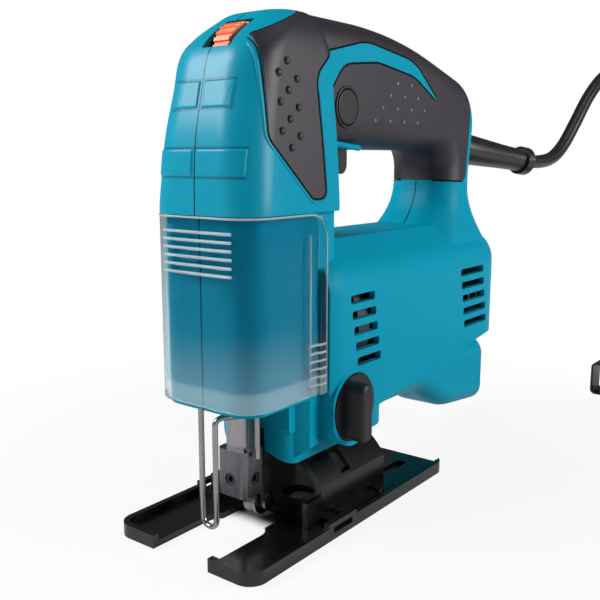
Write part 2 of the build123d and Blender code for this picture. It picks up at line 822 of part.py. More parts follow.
def tooth_outline(teeth, turn):
    """Involute wheel profile, turned by a share of a pitch: flanks are straight below the base circle."""
    pitch_radius = gear_module * teeth / 2
    base_radius = pitch_radius * cos(radians(pressure_angle))
    tip_radius = pitch_radius + addendum_share * gear_module
    root_radius = pitch_radius - dedendum_share * gear_module

    def involute(angle):
        return tan(angle) - angle

    half_tooth = pi / (2 * teeth) - backlash / (2 * pitch_radius)
    flank = []
    for step in range(4):
        radius = max(base_radius, root_radius) + (tip_radius - max(base_radius, root_radius)) * step / 3
        lean = acos(min(1.0, base_radius / radius))
        flank.append((radius, half_tooth + involute(radians(pressure_angle)) - involute(lean)))
    if root_radius < base_radius:
        flank.insert(0, (root_radius, flank[0][1]))
    points = []
    for tooth in range(teeth):
        middle = 2 * pi * (tooth + turn) / teeth
        points += [(r * cos(middle - a), r * sin(middle - a)) for r, a in flank]
        points += [(r * cos(middle + a), r * sin(middle + a)) for r, a in reversed(flank)]
    return Polyline(*points, close=True)


# Armature: shaft with the pinion cut on its end, core, commutator and fan
with BuildPart() as armature_shaft:
    add(bar_along_x(0, motor_z, shaft_diameter / 2, shaft_rear_x, pinion_rear_x))
    with BuildSketch(Plane(origin=(pinion_rear_x, 0, motor_z), x_dir=(0, 0, 1), z_dir=(1, 0, 0))):
        with BuildLine():
            tooth_outline(pinion_teeth, 0)
        make_face()
    extrude(amount=pinion_length)
armature_shaft.part.label = "armature_shaft"
export_step(armature_shaft.part, "parts/armature_shaft.step")

core_slots = 12
with BuildPart() as armature_core:
    with BuildSketch(Plane.YZ.offset(core_rear_x)):
        with Locations((0, motor_z)):
            Circle(core_diameter / 2)
            Circle(shaft_diameter / 2 + seat_gap, mode=Mode.SUBTRACT)
            with PolarLocations(core_diameter / 2, core_slots):
                Rectangle(5, 2, mode=Mode.SUBTRACT)
    extrude(amount=core_length)
armature_core.part.label = "armature_core"
export_step(armature_core.part, "parts/armature_core.step")

with BuildPart() as commutator:
    with BuildSketch(Plane.YZ.offset(commutator_rear_x)):
        with Locations((0, motor_z)):
            Circle(commutator_diameter / 2)
            Circle(shaft_diameter / 2 + seat_gap, mode=Mode.SUBTRACT)
            with PolarLocations(commutator_diameter / 2, 2 * core_slots):
                Rectangle(2, 0.6, mode=Mode.SUBTRACT)
    extrude(amount=commutator_length)
commutator.part.label = "commutator"
export_step(commutator.part, "parts/commutator.step")

with BuildPart() as fan:
    fan_hub = shaft_diameter / 2 + 4
    with BuildSketch(Plane.YZ.offset(fan_rear_x)):
        with Locations((0, motor_z)):
            Circle(fan_diameter / 2)
    extrude(amount=2)
    with BuildSketch(Plane.YZ.offset(fan_rear_x)):
        with Locations((0, motor_z)):
            Circle(fan_hub)
            with PolarLocations((fan_diameter / 2 + fan_hub) / 2 - 0.5, fan_blades):
                Rectangle(fan_diameter / 2 - fan_hub, 1.4)
    extrude(amount=fan_length)
    add(bar_along_x(0, motor_z, shaft_diameter / 2 + seat_gap, -far, far), mode=Mode.SUBTRACT)
fan.part.label = "fan"
export_step(fan.part, "parts/fan.step")

for bearing_name, x in (("rear_bearing", rear_bearing_x), ("front_bearing", casting_rear_x + 1)):
    with BuildPart() as bearing:
        with BuildSketch(Plane.YZ.offset(x)):
            with Locations((0, motor_z)):
                Circle(bearing_diameter / 2)
                Circle(shaft_diameter / 2 + running_gap, mode=Mode.SUBTRACT)
        extrude(amount=bearing_width)
        for face_x in (x, x + bearing_width):
            with BuildSketch(Plane.YZ.offset(face_x - 0.5)):
                with Locations((0, motor_z)):
                    Circle(bearing_diameter / 2 - 2)
                    Circle(shaft_diameter / 2 + 2, mode=Mode.SUBTRACT)
            extrude(amount=1, mode=Mode.SUBTRACT)
    bearing.part.label = bearing_name
    export_step(bearing.part, f"parts/{bearing_name}.step")

with BuildPart() as stator:
    with BuildSketch(Plane.YZ.offset(stator_rear_x)):
        with Locations((0, motor_z)):
            Circle(stator_diameter / 2)
            Circle(stator_bore / 2, mode=Mode.SUBTRACT)
            Rectangle(12, stator_diameter - 8, mode=Mode.SUBTRACT)
    extrude(amount=stator_length)
stator.part.label = "stator"
export_step(stator.part, "parts/stator.step")

brush_x = commutator_rear_x + commutator_length / 2
brush_root = commutator_diameter / 2 + moving_gap
with BuildPart() as brush_holders:
    for side in (1, -1):
        tube_from, tube_to = sorted((side * (brush_root + 1.5), side * (barrel_inner - seat_gap)))
        add(block(brush_x - brush_width / 2 - brush_wall, brush_x + brush_width / 2 + brush_wall, tube_from,
                  tube_to, motor_z - brush_height / 2 - brush_wall, motor_z + brush_height / 2 + brush_wall))
    add(block(brush_x - brush_width / 2 - seat_gap, brush_x + brush_width / 2 + seat_gap, -far / 8, far / 8,
              motor_z - brush_height / 2 - seat_gap, motor_z + brush_height / 2 + seat_gap),
        mode=Mode.SUBTRACT)
brush_holders.part.label = "brush_holders"
export_step(brush_holders.part, "parts/brush_holders.step")

with BuildPart() as brushes:
    for side in (1, -1):
        brush_from, brush_to = sorted((side * brush_root, side * (brush_root + brush_length)))
        add(block(brush_x - brush_width / 2, brush_x + brush_width / 2, brush_from, brush_to,
                  motor_z - brush_height / 2, motor_z + brush_height / 2))
brushes.part.label = "brushes"
export_step(brushes.part, "parts/brushes.step")

# Drive gear with its crank pin, on a fixed axle
with BuildPart() as drive_gear:
    with BuildSketch(Plane(origin=(gear_rear_x, 0, gear_z), x_dir=(0, 0, -1), z_dir=(1, 0, 0))):
        with BuildLine():
            tooth_outline(gear_teeth, 0.5)
        make_face()
    extrude(amount=gear_width)
    add(bar_along_x(0, yoke_z, crank_pin_diameter / 2, gear_front_x, crank_pin_tip_x))
    add(bar_along_x(0, gear_z, axle_diameter / 2 + running_gap, -far, gear_front_x + 0.5),
        mode=Mode.SUBTRACT)
    for angle in (60, 180, 300):
        spot = (gear_radius * 0.58 * sin(radians(angle)), gear_z - gear_radius * 0.58 * cos(radians(angle)))
        add(bar_along_x(*spot, 3.2, gear_rear_x - 1, gear_front_x + 1), mode=Mode.SUBTRACT)
drive_gear.part.label = "drive_gear"
export_step(drive_gear.part, "parts/drive_gear.step")

with BuildPart() as gear_axle:
    add(bar_along_x(0, gear_z, axle_diameter / 2, casting_rear_x, gear_front_x + 1))
gear_axle.part.label = "gear_axle"
export_step(gear_axle.part, "parts/gear_axle.step")

# Plunger: flat bar, yoke and blade clamp
with BuildPart() as plunger_rod:
    add(block(-rod_depth / 2, rod_depth / 2, -rod_width / 2, rod_width / 2, rod_bottom_z, rod_top_z))
    chamfer(plunger_rod.edges().filter_by(Axis.Z), 0.6)
plunger_rod.part.label = "plunger_rod"
export_step(plunger_rod.part, "parts/plunger_rod.step")

with BuildPart() as plunger_yoke:
    add(block(yoke_rear_x, -rod_depth / 2, -yoke_width / 2, yoke_width / 2,
              yoke_z - yoke_height / 2, yoke_z + yoke_height / 2))
    with BuildSketch(Plane.YZ.offset(yoke_rear_x)):
        with Locations((0, yoke_z)):
            SlotOverall(stroke + crank_pin_diameter + 1, crank_pin_diameter + 2 * running_gap)
    extrude(amount=yoke_depth - 2, mode=Mode.SUBTRACT)
plunger_yoke.part.label = "plunger_yoke"
export_step(plunger_yoke.part, "parts/plunger_yoke.step")

with BuildPart() as blade_clamp:
    add(block(-clamp_depth / 2, clamp_depth / 2, -clamp_width / 2, clamp_width / 2,
              clamp_bottom_z, clamp_top_z))
    fillet(blade_clamp.edges().filter_by(Axis.Z), 2.5)
    add(block(-rod_depth / 2 - seat_gap, rod_depth / 2 + seat_gap, -rod_width / 2 - seat_gap,
              rod_width / 2 + seat_gap, rod_bottom_z, far), mode=Mode.SUBTRACT)
    add(block(-shank_width / 2, shank_width / 2, -shank_slot / 2, shank_slot / 2, 0, rod_bottom_z),
        mode=Mode.SUBTRACT)
    add(bar_along_x(0, clamp_screw_z, clamp_screw_diameter / 2 + seat_gap, 0, far), mode=Mode.SUBTRACT)
    with BuildSketch(Plane.XZ.offset(-clamp_width / 2 - 1)):
        with Locations((0, clamp_screw_z)):
            Circle(clamp_screw_diameter / 2 + seat_gap)
    extrude(amount=clamp_width / 2, mode=Mode.SUBTRACT)
blade_clamp.part.label = "blade_clamp"
export_step(blade_clamp.part, "parts/blade_clamp.step")

with BuildPart() as clamp_screws:
    add(bar_along_x(0, clamp_screw_z, clamp_screw_diameter / 2, shank_width / 2, clamp_depth / 2 - 0.4))
    add(column(0, clamp_screw_z, clamp_screw_diameter / 2, shank_slot / 2 + 2, clamp_width / 2 - 0.4))
    with BuildSketch(Plane.YZ.offset(clamp_depth / 2 - 0.4)):
        with Locations((0, clamp_screw_z)):
            RegularPolygon(1.4, 6)
    extrude(amount=-1.2, mode=Mode.SUBTRACT)
    with BuildSketch(Plane.XZ.offset(-clamp_width / 2 + 0.4)):
        with Locations((0, clamp_screw_z)):
            RegularPolygon(1.4, 6)
    extrude(amount=1.2, mode=Mode.SUBTRACT)
clamp_screws.part.label = "clamp_screws"
export_step(clamp_screws.part, "parts/clamp_screws.step")

# Guide roller on its swinging arm
with BuildPart() as roller_arm:
    reach = Vector(roller_x - arm_pivot_x, 0, roller_z - arm_pivot_z)
    link = Plane(origin=(arm_pivot_x, -arm_outer, arm_pivot_z), x_dir=tuple(reach.normalized()),
                 z_dir=(0, 1, 0))
    with BuildSketch(link):
        with Locations((reach.length / 2, 0)):
            SlotCenterToCenter(reach.length, arm_width)
    extrude(amount=2 * arm_outer)
    inside = arm_outer - arm_cheek
    add(block(-far, far, -inside, inside, 0, roller_z + roller_diameter / 2 + 3), mode=Mode.SUBTRACT)
    for x, z in ((arm_pivot_x, arm_pivot_z), (roller_x, roller_z)):
        add(column(x, z, arm_pin_diameter / 2 + running_gap, -far / 8, far / 8), mode=Mode.SUBTRACT)
roller_arm.part.label = "roller_arm"
export_step(roller_arm.part, "parts/roller_arm.step")

with BuildPart() as arm_pin:
    add(column(arm_pivot_x, arm_pivot_z, arm_pin_diameter / 2, -arm_pin_length / 2 + 0.2,
               arm_pin_length / 2 - 0.2))
arm_pin.part.label = "arm_pin"
export_step(arm_pin.part, "parts/arm_pin.step")

with BuildPart() as roller:
    with BuildSketch(Plane.XY.offset(roller_z)):
        edge_y = roller_width / 2
        rim = roller_x + roller_diameter / 2
        bore = roller_x + arm_pin_diameter / 2 + running_gap
        with BuildLine():
            Polyline((bore, -edge_y), (rim, -edge_y), (rim, -roller_groove), (rim - roller_groove, 0),
                     (rim, roller_groove), (rim, edge_y), (bore, edge_y), close=True)
        make_face()
    revolve(axis=Axis((roller_x, 0, roller_z), (0, 1, 0)))
roller.part.label = "roller"
export_step(roller.part, "parts/roller.step")

with BuildPart() as roller_pin:
    add(column(roller_x, roller_z, arm_pin_diameter / 2, -arm_outer, arm_outer))
    for side in (1, -1):
        add(column(roller_x, roller_z, arm_pin_diameter, side * arm_outer, side * (arm_outer + 0.8)))
roller_pin.part.label = "roller_pin"
export_step(roller_pin.part, "parts/roller_pin.step")

# Orbit lever: shaft, disc in its round recess and an upright fin to turn it by
with BuildPart() as orbit_lever:
    add(column(lever_x, lever_z, lever_shaft_diameter / 2, lever_shaft_end_y + moving_gap, lever_floor_y))
    add(column(lever_x, lever_z, lever_disc_diameter / 2, lever_floor_y, lever_face_y))
    with BuildSketch(Plane.XZ.offset(-lever_face_y)):
        with Locations((lever_x + lever_fin_offset, lever_z)):
            SlotOverall(lever_fin_height, lever_fin_width, rotation=90)
    extrude(amount=-lever_fin_reach)
    fillet(orbit_lever.faces().sort_by(Axis.Y)[-1].edges(), 2)
orbit_lever.part.label = "orbit_lever"
export_step(orbit_lever.part, "parts/orbit_lever.step")

# Sole plate: pressed sheet with upturned rims, two toes and slots for a fence
sole_rear_x = sole_front_x - sole_length
with BuildPart() as sole_plate:
    sole_middle_x = (sole_front_x + sole_rear_x) / 2
    with BuildSketch():
        with Locations((sole_middle_x, 0)):
            RectangleRounded(sole_length, sole_width, sole_corner)
    extrude(amount=rim_height)
    with BuildSketch(Plane.XY.offset(sole_sheet)):
        with Locations((sole_middle_x - rim_wall, 0)):
            RectangleRounded(sole_length, sole_width - 2 * rim_wall, sole_corner - rim_wall)
    extrude(amount=rim_height, mode=Mode.SUBTRACT)
    for side in (1, -1):
        rim_from, rim_to = sorted((side * sole_width / 2, side * (sole_width / 2 - rim_wall)))
        add(block(fence_x - fence_bar_width / 2 - 3, fence_x + fence_bar_width / 2 + 3, rim_from, rim_to,
                  sole_sheet, fence_top_z + fence_wall))
    add(block(fence_x - fence_bar_width / 2, fence_x + fence_bar_width / 2, -far / 4, far / 4,
              sole_sheet, fence_top_z), mode=Mode.SUBTRACT)
    with BuildSketch():
        with BuildLine():
            nose_outline(sole_front_x + 40, notch_end_x, notch_width / 2, 2, 7)
        make_face()
        with BuildLine():
            nose_outline(sole_front_x, roller_slot_end_x, roller_slot_width / 2, 2, 3)
        make_face()
        with Locations((bolt_x, 0)):
            Circle(bolt_head_diameter / 2 + 2)
        with Locations((rear_slot_x, sole_width / 4), (rear_slot_x, -sole_width / 4)):
            SlotOverall(rear_slot_length, rear_slot_width)
    extrude(amount=rim_height + 1, mode=Mode.SUBTRACT)
sole_plate.part.label = "sole_plate"
export_step(sole_plate.part, "parts/sole_plate.step")

# Arched bracket: its top is part of a cylinder about the tilt axis, with feet riveted to the sole
with BuildPart() as tilt_bracket:
    with BuildSketch(Plane.YZ.offset(arch_rear_x)):
        for sheet, mode in ((0, Mode.ADD), (arch_sheet, Mode.SUBTRACT)):
            with BuildLine():
                top = tilt_axis_z + sqrt((arch_radius - sheet) ** 2 - (arch_half_width - sheet) ** 2)
                wide = arch_half_width - sheet
                foot_z = sole_sheet if sheet == 0 else sole_sheet - 1
                Polyline((-wide, top), (-wide, foot_z), (wide, foot_z), (wide, top))
                ThreePointArc((wide, top), (0, tilt_axis_z + arch_radius - sheet), (-wide, top))
            make_face(mode=mode)
        for side in (1, -1):
            with Locations((side * (arch_half_width + foot_width / 2 - arch_sheet / 2),
                            sole_sheet + foot_sheet / 2)):
                Rectangle(foot_width + arch_sheet, foot_sheet)
    extrude(amount=arch_front_x - arch_rear_x)
    for side in (1, -1):
        leg_from, leg_to = sorted((side * (arch_half_width - arch_sheet), side * arch_half_width))
        add(block(arch_front_x, leg_front_x, leg_from, leg_to, sole_sheet, leg_top_z))
    add(block(bolt_x - bolt_diameter / 2 - moving_gap, bolt_x + bolt_diameter / 2 + moving_gap,
              -arch_half_width - 1, arch_half_width + 1, window_z, far / 4), mode=Mode.SUBTRACT)
tilt_bracket.part.label = "tilt_bracket"
export_step(tilt_bracket.part, "parts/tilt_bracket.step")

with BuildPart() as bracket_rivets:
    for x in (arch_front_x - rivet_inset, arch_rear_x + rivet_inset):
        for side in (1, -1):
            with BuildSketch(Plane.XY.offset(sole_sheet + foot_sheet)):
                with Locations((x, side * (arch_half_width + foot_width / 2))):
                    Circle(rivet_diameter / 2)
            extrude(amount=rivet_height)
bracket_rivets.part.label = "bracket_rivets"
export_step(bracket_rivets.part, "parts/bracket_rivets.step")

# Bevel clamp: bolt from below, curved washer inside the arch and a nut that slides in the foot
washer_top_radius = arch_radius - arch_sheet - moving_gap
washer_flat_z = tilt_axis_z + sqrt(washer_top_radius ** 2 - washer_half_width ** 2) - washer_thickness
with BuildPart() as bevel_bolt:
    with BuildSketch(Plane.XY.offset(washer_flat_z - bolt_head_height)):
        with Locations((bolt_x, 0)):
            Circle(bolt_head_diameter / 2)
    extrude(amount=bolt_head_height)
    with BuildSketch(Plane.XY.offset(washer_flat_z - bolt_head_height)):
        with Locations((bolt_x, 0)):
            Circle(bolt_diameter / 2)
    extrude(amount=nut_z + nut_height - washer_flat_z + bolt_head_height)
    with BuildSketch(Plane.XY.offset(washer_flat_z - bolt_head_height)):
        with Locations((bolt_x, 0)):
            RegularPolygon(bolt_socket / 2, 6)
    extrude(amount=bolt_head_height / 2, mode=Mode.SUBTRACT)
bevel_bolt.part.label = "bevel_bolt"
export_step(bevel_bolt.part, "parts/bevel_bolt.step")

with BuildPart() as bevel_washer:
    add(bar_along_x(0, tilt_axis_z, washer_top_radius, bolt_x - washer_half_width,
                    bolt_x + washer_half_width))
    add(block(-far, far, -washer_half_width, washer_half_width, washer_flat_z, far / 4), mode=Mode.INTERSECT)
    with BuildSketch():
        with Locations((bolt_x, 0)):
            Circle(bolt_diameter / 2 + seat_gap)
    extrude(amount=far / 4, mode=Mode.SUBTRACT)
bevel_washer.part.label = "bevel_washer"
export_step(bevel_washer.part, "parts/bevel_washer.step")

with BuildPart() as bevel_nut:
    add(block(bolt_x - nut_width / 2, bolt_x + nut_width / 2, -nut_width / 2, nut_width / 2,
              nut_z, nut_z + nut_height))
    with BuildSketch():
        with Locations((bolt_x, 0)):
            Circle(bolt_diameter / 2 + seat_gap)
    extrude(amount=far / 4, mode=Mode.SUBTRACT)
bevel_nut.part.label = "bevel_nut"
export_step(bevel_nut.part, "parts/bevel_nut.step")

# Switch, trigger, lock button, speed dial and its controller
with BuildPart() as switch:
    add(block(switch_front_x - switch_length, switch_front_x, -switch_width / 2, switch_width / 2,
              switch_z, switch_z + switch_height))
    fillet(switch.edges().filter_by(Axis.Z), 2)
switch.part.label = "switch"
export_step(switch.part, "parts/switch.step")

with BuildPart() as trigger:
    trigger_rear_x = trigger_front_x - trigger_length
    add(block(trigger_rear_x, trigger_front_x, -trigger_width / 2, trigger_width / 2,
              trigger_bottom_z, flange_z + trigger_flange))
    lower = trigger.edges().filter_by(Axis.Y).group_by(Axis.Z)[0]
    fillet(lower, 4)
    add(block(trigger_rear_x - 2, trigger_front_x, -trigger_width / 2 - 1.5, trigger_width / 2 + 1.5,
              flange_z, flange_z + trigger_flange))
trigger.part.label = "trigger"
export_step(trigger.part, "parts/trigger.step")

with BuildPart() as lock_button:
    lock_face_y = grip_half_width + lock_proud
    add(column(lock_x, lock_z, lock_diameter / 2, switch_width / 2 + lock_travel + moving_gap, lock_face_y))
    fillet(lock_button.faces().sort_by(Axis.Y)[-1].edges(), 0.6)
lock_button.part.label = "lock_button"
export_step(lock_button.part, "parts/lock_button.step")

with BuildPart() as speed_dial:
    with BuildSketch(Plane.XZ.offset(-dial_y + dial_width / 2)):
        with Locations((dial_x, dial_z)):
            Circle(dial_diameter / 2)
            with PolarLocations(dial_diameter / 2, 24):
                Circle(0.7, mode=Mode.SUBTRACT)
            Circle(dial_bore, mode=Mode.SUBTRACT)
    extrude(amount=-dial_width)
speed_dial.part.label = "speed_dial"
export_step(speed_dial.part, "parts/speed_dial.step")

with BuildPart() as speed_controller:
    add(block(controller_rear_x, controller_rear_x + controller_length, -controller_width / 2,
              controller_width / 2, controller_z, controller_z + controller_height))
    spindle_from = dial_y - dial_width / 2 - 4
    add(block(controller_rear_x + controller_length, dial_x + 4, spindle_from, spindle_from + 3,
              dial_z - 5, dial_z + 3))
    add(column(dial_x, dial_z, dial_bore - running_gap, spindle_from, dial_y + dial_width / 2))
speed_controller.part.label = "speed_controller"
export_step(speed_controller.part, "parts/speed_controller.step")

# Dust port: a short tube held in the duct's mouth
with BuildPart() as dust_port:
    with BuildSketch(Plane.YZ.offset(duct_rear_x)):
        with Locations((0, port_z)):
            Circle(port_bore / 2 + port_wall - seat_gap)
            Circle(port_bore / 2, mode=Mode.SUBTRACT)
    extrude(amount=port_depth)
dust_port.part.label = "dust_port"
export_step(dust_port.part, "parts/dust_port.step")

# Cord guard: a tapered sleeve with a collar at its end and a flange inside the housing
with BuildPart() as cord_guard:
    for along, diameter in ((-8, guard_root_diameter), (12, guard_root_diameter - 0.6),
                            (36, guard_tip_diameter + 0.8), (guard_length, guard_tip_diameter)):
        with BuildSketch(Plane(origin=tuple(cord_exit + guard_axis * along), z_dir=tuple(guard_axis))):
            Circle(diameter / 2)
    loft()
    with BuildSketch(Plane(origin=tuple(cord_exit + guard_axis * (guard_length - collar_length)),
                           z_dir=tuple(guard_axis))):
        Circle(collar_diameter / 2)
    extrude(amount=collar_length)
cord_guard.part.label = "cord_guard"
export_step(cord_guard.part, "parts/cord_guard.step")

with BuildPart() as cord_clamp:
    clamp_from_x = cord_exit.X + 12
    add(block(clamp_from_x, clamp_from_x + 8, -cord_clamp_width / 2, cord_clamp_width / 2,
              cord_exit.Z - 12, cord_exit.Z + 12))
    add(bar_along_x(0, cord_exit.Z, cord_diameter / 2, -far, far), mode=Mode.SUBTRACT)
cord_clamp.part.label = "cord_clamp"
export_step(cord_clamp.part, "parts/cord_clamp.step")

# Free cord: straight runs joined by the largest tangent arcs
radii = cord_radii(cord_route)
print("cord radii", [round(radius) for radius in radii])
with BuildPart() as cord:
    with BuildLine() as cord_path:
        FilletPolyline(*cord_route, radius=radii)
    with BuildSketch(Plane(origin=tuple(guard_end), z_dir=tuple(cord_route[1] - cord_route[0]))):
        Circle(cord_diameter / 2)
    sweep(path=cord_path.wires()[0])
print("free cord", round(cord_path.wires()[0].length), "mm")
cord.part.label = "cord"
export_step(cord.part, "parts/cord.step")


def coil_point(turns):
    """Place and heading on the coil after some turns: in on the lower layer, out on the upper one."""
    pitch = cord_diameter + coil_gap
    depth = coil_turns / 2 - sqrt((turns - coil_turns / 2) ** 2 + 0.02)
    radius = coil_radius - pitch * depth
    climb = min(1.0, max(0.0, (turns - coil_turns / 2) * 2 + 0.5))
    lift = pitch * (3 * climb ** 2 - 2 * climb ** 3)
    angle = pi / 2 - 2 * pi * turns
    return Vector(coil_centre.X + radius * cos(angle), coil_centre.Y + radius * sin(angle), coil_z + lift)


def heading(turns):
    """Direction of travel along the coil, from two close points."""
    return (coil_point(turns + 1e-4) - coil_point(turns - 1e-4)).normalized()


def add_biarc(start, start_way, end, end_way):
    """Two arcs that leave the start and reach the end in the given directions."""
    chord = end - start
    ways = start_way + end_way
    a = 2 * (1 - start_way.dot(end_way))
    b = 2 * chord.dot(ways)
    reach = (-b + sqrt(b * b + 4 * a * chord.dot(chord))) / (2 * a)
    joint = (start + start_way * reach + end - end_way * reach) / 2
    TangentArc(start, joint, tangent=start_way)
    TangentArc(end, joint, tangent=end_way * -1)


with BuildPart() as cord_coil:
    with BuildLine() as coil_path:
        steps = coil_turns * 4
        for step in range(steps):
            here, there = step / 4, (step + 1) / 4
            add_biarc(coil_point(here), heading(here), coil_point(there), heading(there))
        Line(coil_point(coil_turns), coil_point(coil_turns) + heading(coil_turns) * plug_tail)
    with BuildSketch(Plane(origin=tuple(coil_point(0)), z_dir=tuple(heading(0)))):
        Circle(cord_diameter / 2)
    sweep(path=coil_path.wires()[0])
samples = [coil_point(coil_turns * k / 720) for k in range(721)]
least = min((p - q).length for i, p in enumerate(samples) for q in samples[i + 40:])
print("coil", round(coil_path.wires()[0].length), "mm, least gap", round(least - cord_diameter, 2), "mm")
cord_coil.part.label = "cord_coil"
export_step(cord_coil.part, "parts/cord_coil.step")

# Strap that ties the coil
with BuildPart() as cord_tie:
    tie_low = coil_radius - (cord_diameter + coil_gap) * (coil_turns / 2) - cord_diameter / 2 - 1
    tie_high = coil_radius + cord_diameter / 2 + 1
    tie_top = coil_z + cord_diameter * 1.5 + coil_gap * 2
    with BuildSketch(Plane.YZ.offset(coil_centre.X - tie_width / 2)):
        with Locations((coil_centre.Y - (tie_low + tie_high) / 2, (tie_top + tie_strap) / 2)):
            RectangleRounded(tie_high - tie_low + 2 * tie_strap, tie_top + tie_strap, 3)
            RectangleRounded(tie_high - tie_low, tie_top - tie_strap, 1.8, mode=Mode.SUBTRACT)
    extrude(amount=tie_width)
cord_tie.part.label = "cord_tie"
export_step(cord_tie.part, "parts/cord_tie.step")

# Two-pin plug on the cord's end, lying on its flat side
plug_root = coil_point(coil_turns) + heading(coil_turns) * plug_tail
plug_thick = 2 * plug_root.Z - 0.4
with BuildPart() as plug:
    for along, wide, thick, corner in (
        (0, plug_neck, plug_neck, 4), (plug_length * 0.35, plug_neck + 4, plug_neck + 2, 5),
        (plug_length * 0.6, plug_width, plug_thick, 7), (plug_length, plug_width + 3, plug_thick, 7),
    ):
        with BuildSketch(Plane(origin=(plug_root.X + along, plug_root.Y, plug_root.Z), x_dir=(0, 1, 0),
                               z_dir=(1, 0, 0))):
            RectangleRounded(wide, thick, corner)
    loft(ruled=True)
plug.part.label = "plug"
export_step(plug.part, "parts/plug.step")

with BuildPart() as plug_pins:
    for side in (1, -1):
        add(bar_along_x(plug_root.Y + side * pin_spacing / 2, plug_root.Z, pin_diameter / 2,
                        plug_root.X + plug_length, plug_root.X + plug_length + pin_length))
    fillet(plug_pins.faces().group_by(Axis.X)[-1].edges(), 1)
plug_pins.part.label = "plug_pins"
export_step(plug_pins.part, "parts/plug_pins.step")
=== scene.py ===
"""Corded jigsaw on a pale studio floor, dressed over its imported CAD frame."""

import bpy
import numpy as np
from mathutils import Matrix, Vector
from mathutils.bvhtree import BVHTree


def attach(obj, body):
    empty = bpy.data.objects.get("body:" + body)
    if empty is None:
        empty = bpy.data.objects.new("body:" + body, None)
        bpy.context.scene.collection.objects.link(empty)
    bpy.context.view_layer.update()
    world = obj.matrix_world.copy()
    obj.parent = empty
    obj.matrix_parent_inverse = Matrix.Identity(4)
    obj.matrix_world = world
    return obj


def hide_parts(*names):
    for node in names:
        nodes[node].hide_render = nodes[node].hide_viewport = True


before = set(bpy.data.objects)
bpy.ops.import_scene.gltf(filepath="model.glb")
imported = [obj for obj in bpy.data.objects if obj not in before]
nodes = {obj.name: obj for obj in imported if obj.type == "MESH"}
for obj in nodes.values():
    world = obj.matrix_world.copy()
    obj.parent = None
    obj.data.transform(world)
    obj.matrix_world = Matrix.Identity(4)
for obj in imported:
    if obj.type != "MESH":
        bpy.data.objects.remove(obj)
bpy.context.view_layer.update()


# Studio camera: stands at the front left, a little above the middle of the saw and looking slightly
# down. Its place and lens were fitted to the base's corners and the upright seams.
eye = Vector((0.2221, 0.2005, 0.1442))
gaze = Vector((-0.77894, -0.60202, -0.17537))
camera = bpy.data.objects.new("camera", bpy.data.cameras.new("camera"))
camera.location = eye
camera.rotation_euler = gaze.to_track_quat("-Z", "Y").to_euler()
camera.data.sensor_width = 36.0
camera.data.lens = 48.4
camera.data.clip_start = 0.01
bpy.context.scene.collection.objects.link(camera)
bpy.context.scene.camera = camera
bpy.context.scene.view_settings.view_transform = "Standard"


# Studio floor and light: a sheet of white paper under two soft boxes, a weak top box and a pale room.
# The paper shows as white to the camera, duller in reflections, still takes the saw's shadow,
# and where the sole covers it the glow is taken off and the paper is painted near black as shade.
class Wire:
    """An output in a material's node tree; arithmetic on it adds Math nodes to that tree."""

    def __init__(self, finish, socket):
        self.finish = finish
        self.socket = socket

    def math(self, operation, *values):
        return self.finish.node("ShaderNodeMath", {"operation": operation}, dict(enumerate(values)))

    def __add__(self, other):
        return self.math("ADD", self, other)

    def __sub__(self, other):
        return self.math("SUBTRACT", self, other)

    def __rsub__(self, other):
        return self.math("SUBTRACT", other, self)

    def __mul__(self, other):
        return self.math("MULTIPLY", self, other)

    def __gt__(self, other):
        return self.math("GREATER_THAN", self, other)

    def __lt__(self, other):
        return self.math("LESS_THAN", self, other)

    def __abs__(self):
        return self.math("ABSOLUTE", self)

    __radd__ = __add__
    __rmul__ = __mul__


class Finish:
    """A tree of shader nodes. node() adds any node: its settings first, then values or links by socket."""

    def __init__(self, tree):
        self.tree = tree

    def node(self, kind, settings=None, sockets=None, out=0):
        made = self.tree.nodes.new(kind)
        for key, value in (settings or {}).items():
            setattr(made, key, value)
        self.feed(made, sockets or {})
        return Wire(self, made.outputs[out])

    def feed(self, made, sockets):
        """Sets each named input of a node, or links it where the value is a wire."""
        for key, value in sockets.items():
            if isinstance(value, Wire):
                self.tree.links.new(value.socket, made.inputs[key])
            else:
                made.inputs[key].default_value = value

    def blend(self, mask, low, high):
        """Colour that goes from low to high with the mask; a Mix node's colours are sockets 6 and 7."""
        return self.node("ShaderNodeMix", {"data_type": "RGBA"}, {0: mask, 6: low, 7: high}, out=2)

    def slope(self, value, start, end, low, high):
        """Smooth step: low where the value is under start, high where it is past end."""
        return self.node("ShaderNodeMapRange", {"interpolation_type": "SMOOTHSTEP"}, {
            "Value": value, "From Min": start, "From Max": end, "To Min": low, "To Max": high,
        })

    def coordinate(self, axis):
        """Place on the piece along X, Y or Z, for an axis of 0, 1 or 2."""
        return self.node("ShaderNodeSeparateXYZ", {}, {"Vector": self.place}, out=axis)

    def noise(self, scale, detail, place=None):
        """Cloudy grain from 0 to 1, with about scale cells to the metre."""
        return self.node("ShaderNodeTexNoise", {}, {
            "Vector": place or self.place, "Scale": scale, "Detail": detail,
        })

    def bump(self, height, strength, depth):
        """Normal of a skin that rises by the depth where the height is 1, softened by the strength."""
        return self.node("ShaderNodeBump", {}, {"Height": height, "Strength": strength, "Distance": depth})


def grey(level):
    """Neutral colour of one linear level."""
    return (level, level, level, 1.0)


def new_finish(name, **sockets):
    """A material with a Principled shader whose plain sockets are set, and its tree for the rest."""
    material = bpy.data.materials.new(name)
    material.use_nodes = True
    finish = Finish(material.node_tree)
    finish.material = material
    finish.shader = material.node_tree.nodes["Principled BSDF"]
    finish.feed(finish.shader, {key.replace("_", " "): value for key, value in sockets.items()})
    finish.place = finish.node("ShaderNodeTexCoord", out="Object")
    return finish


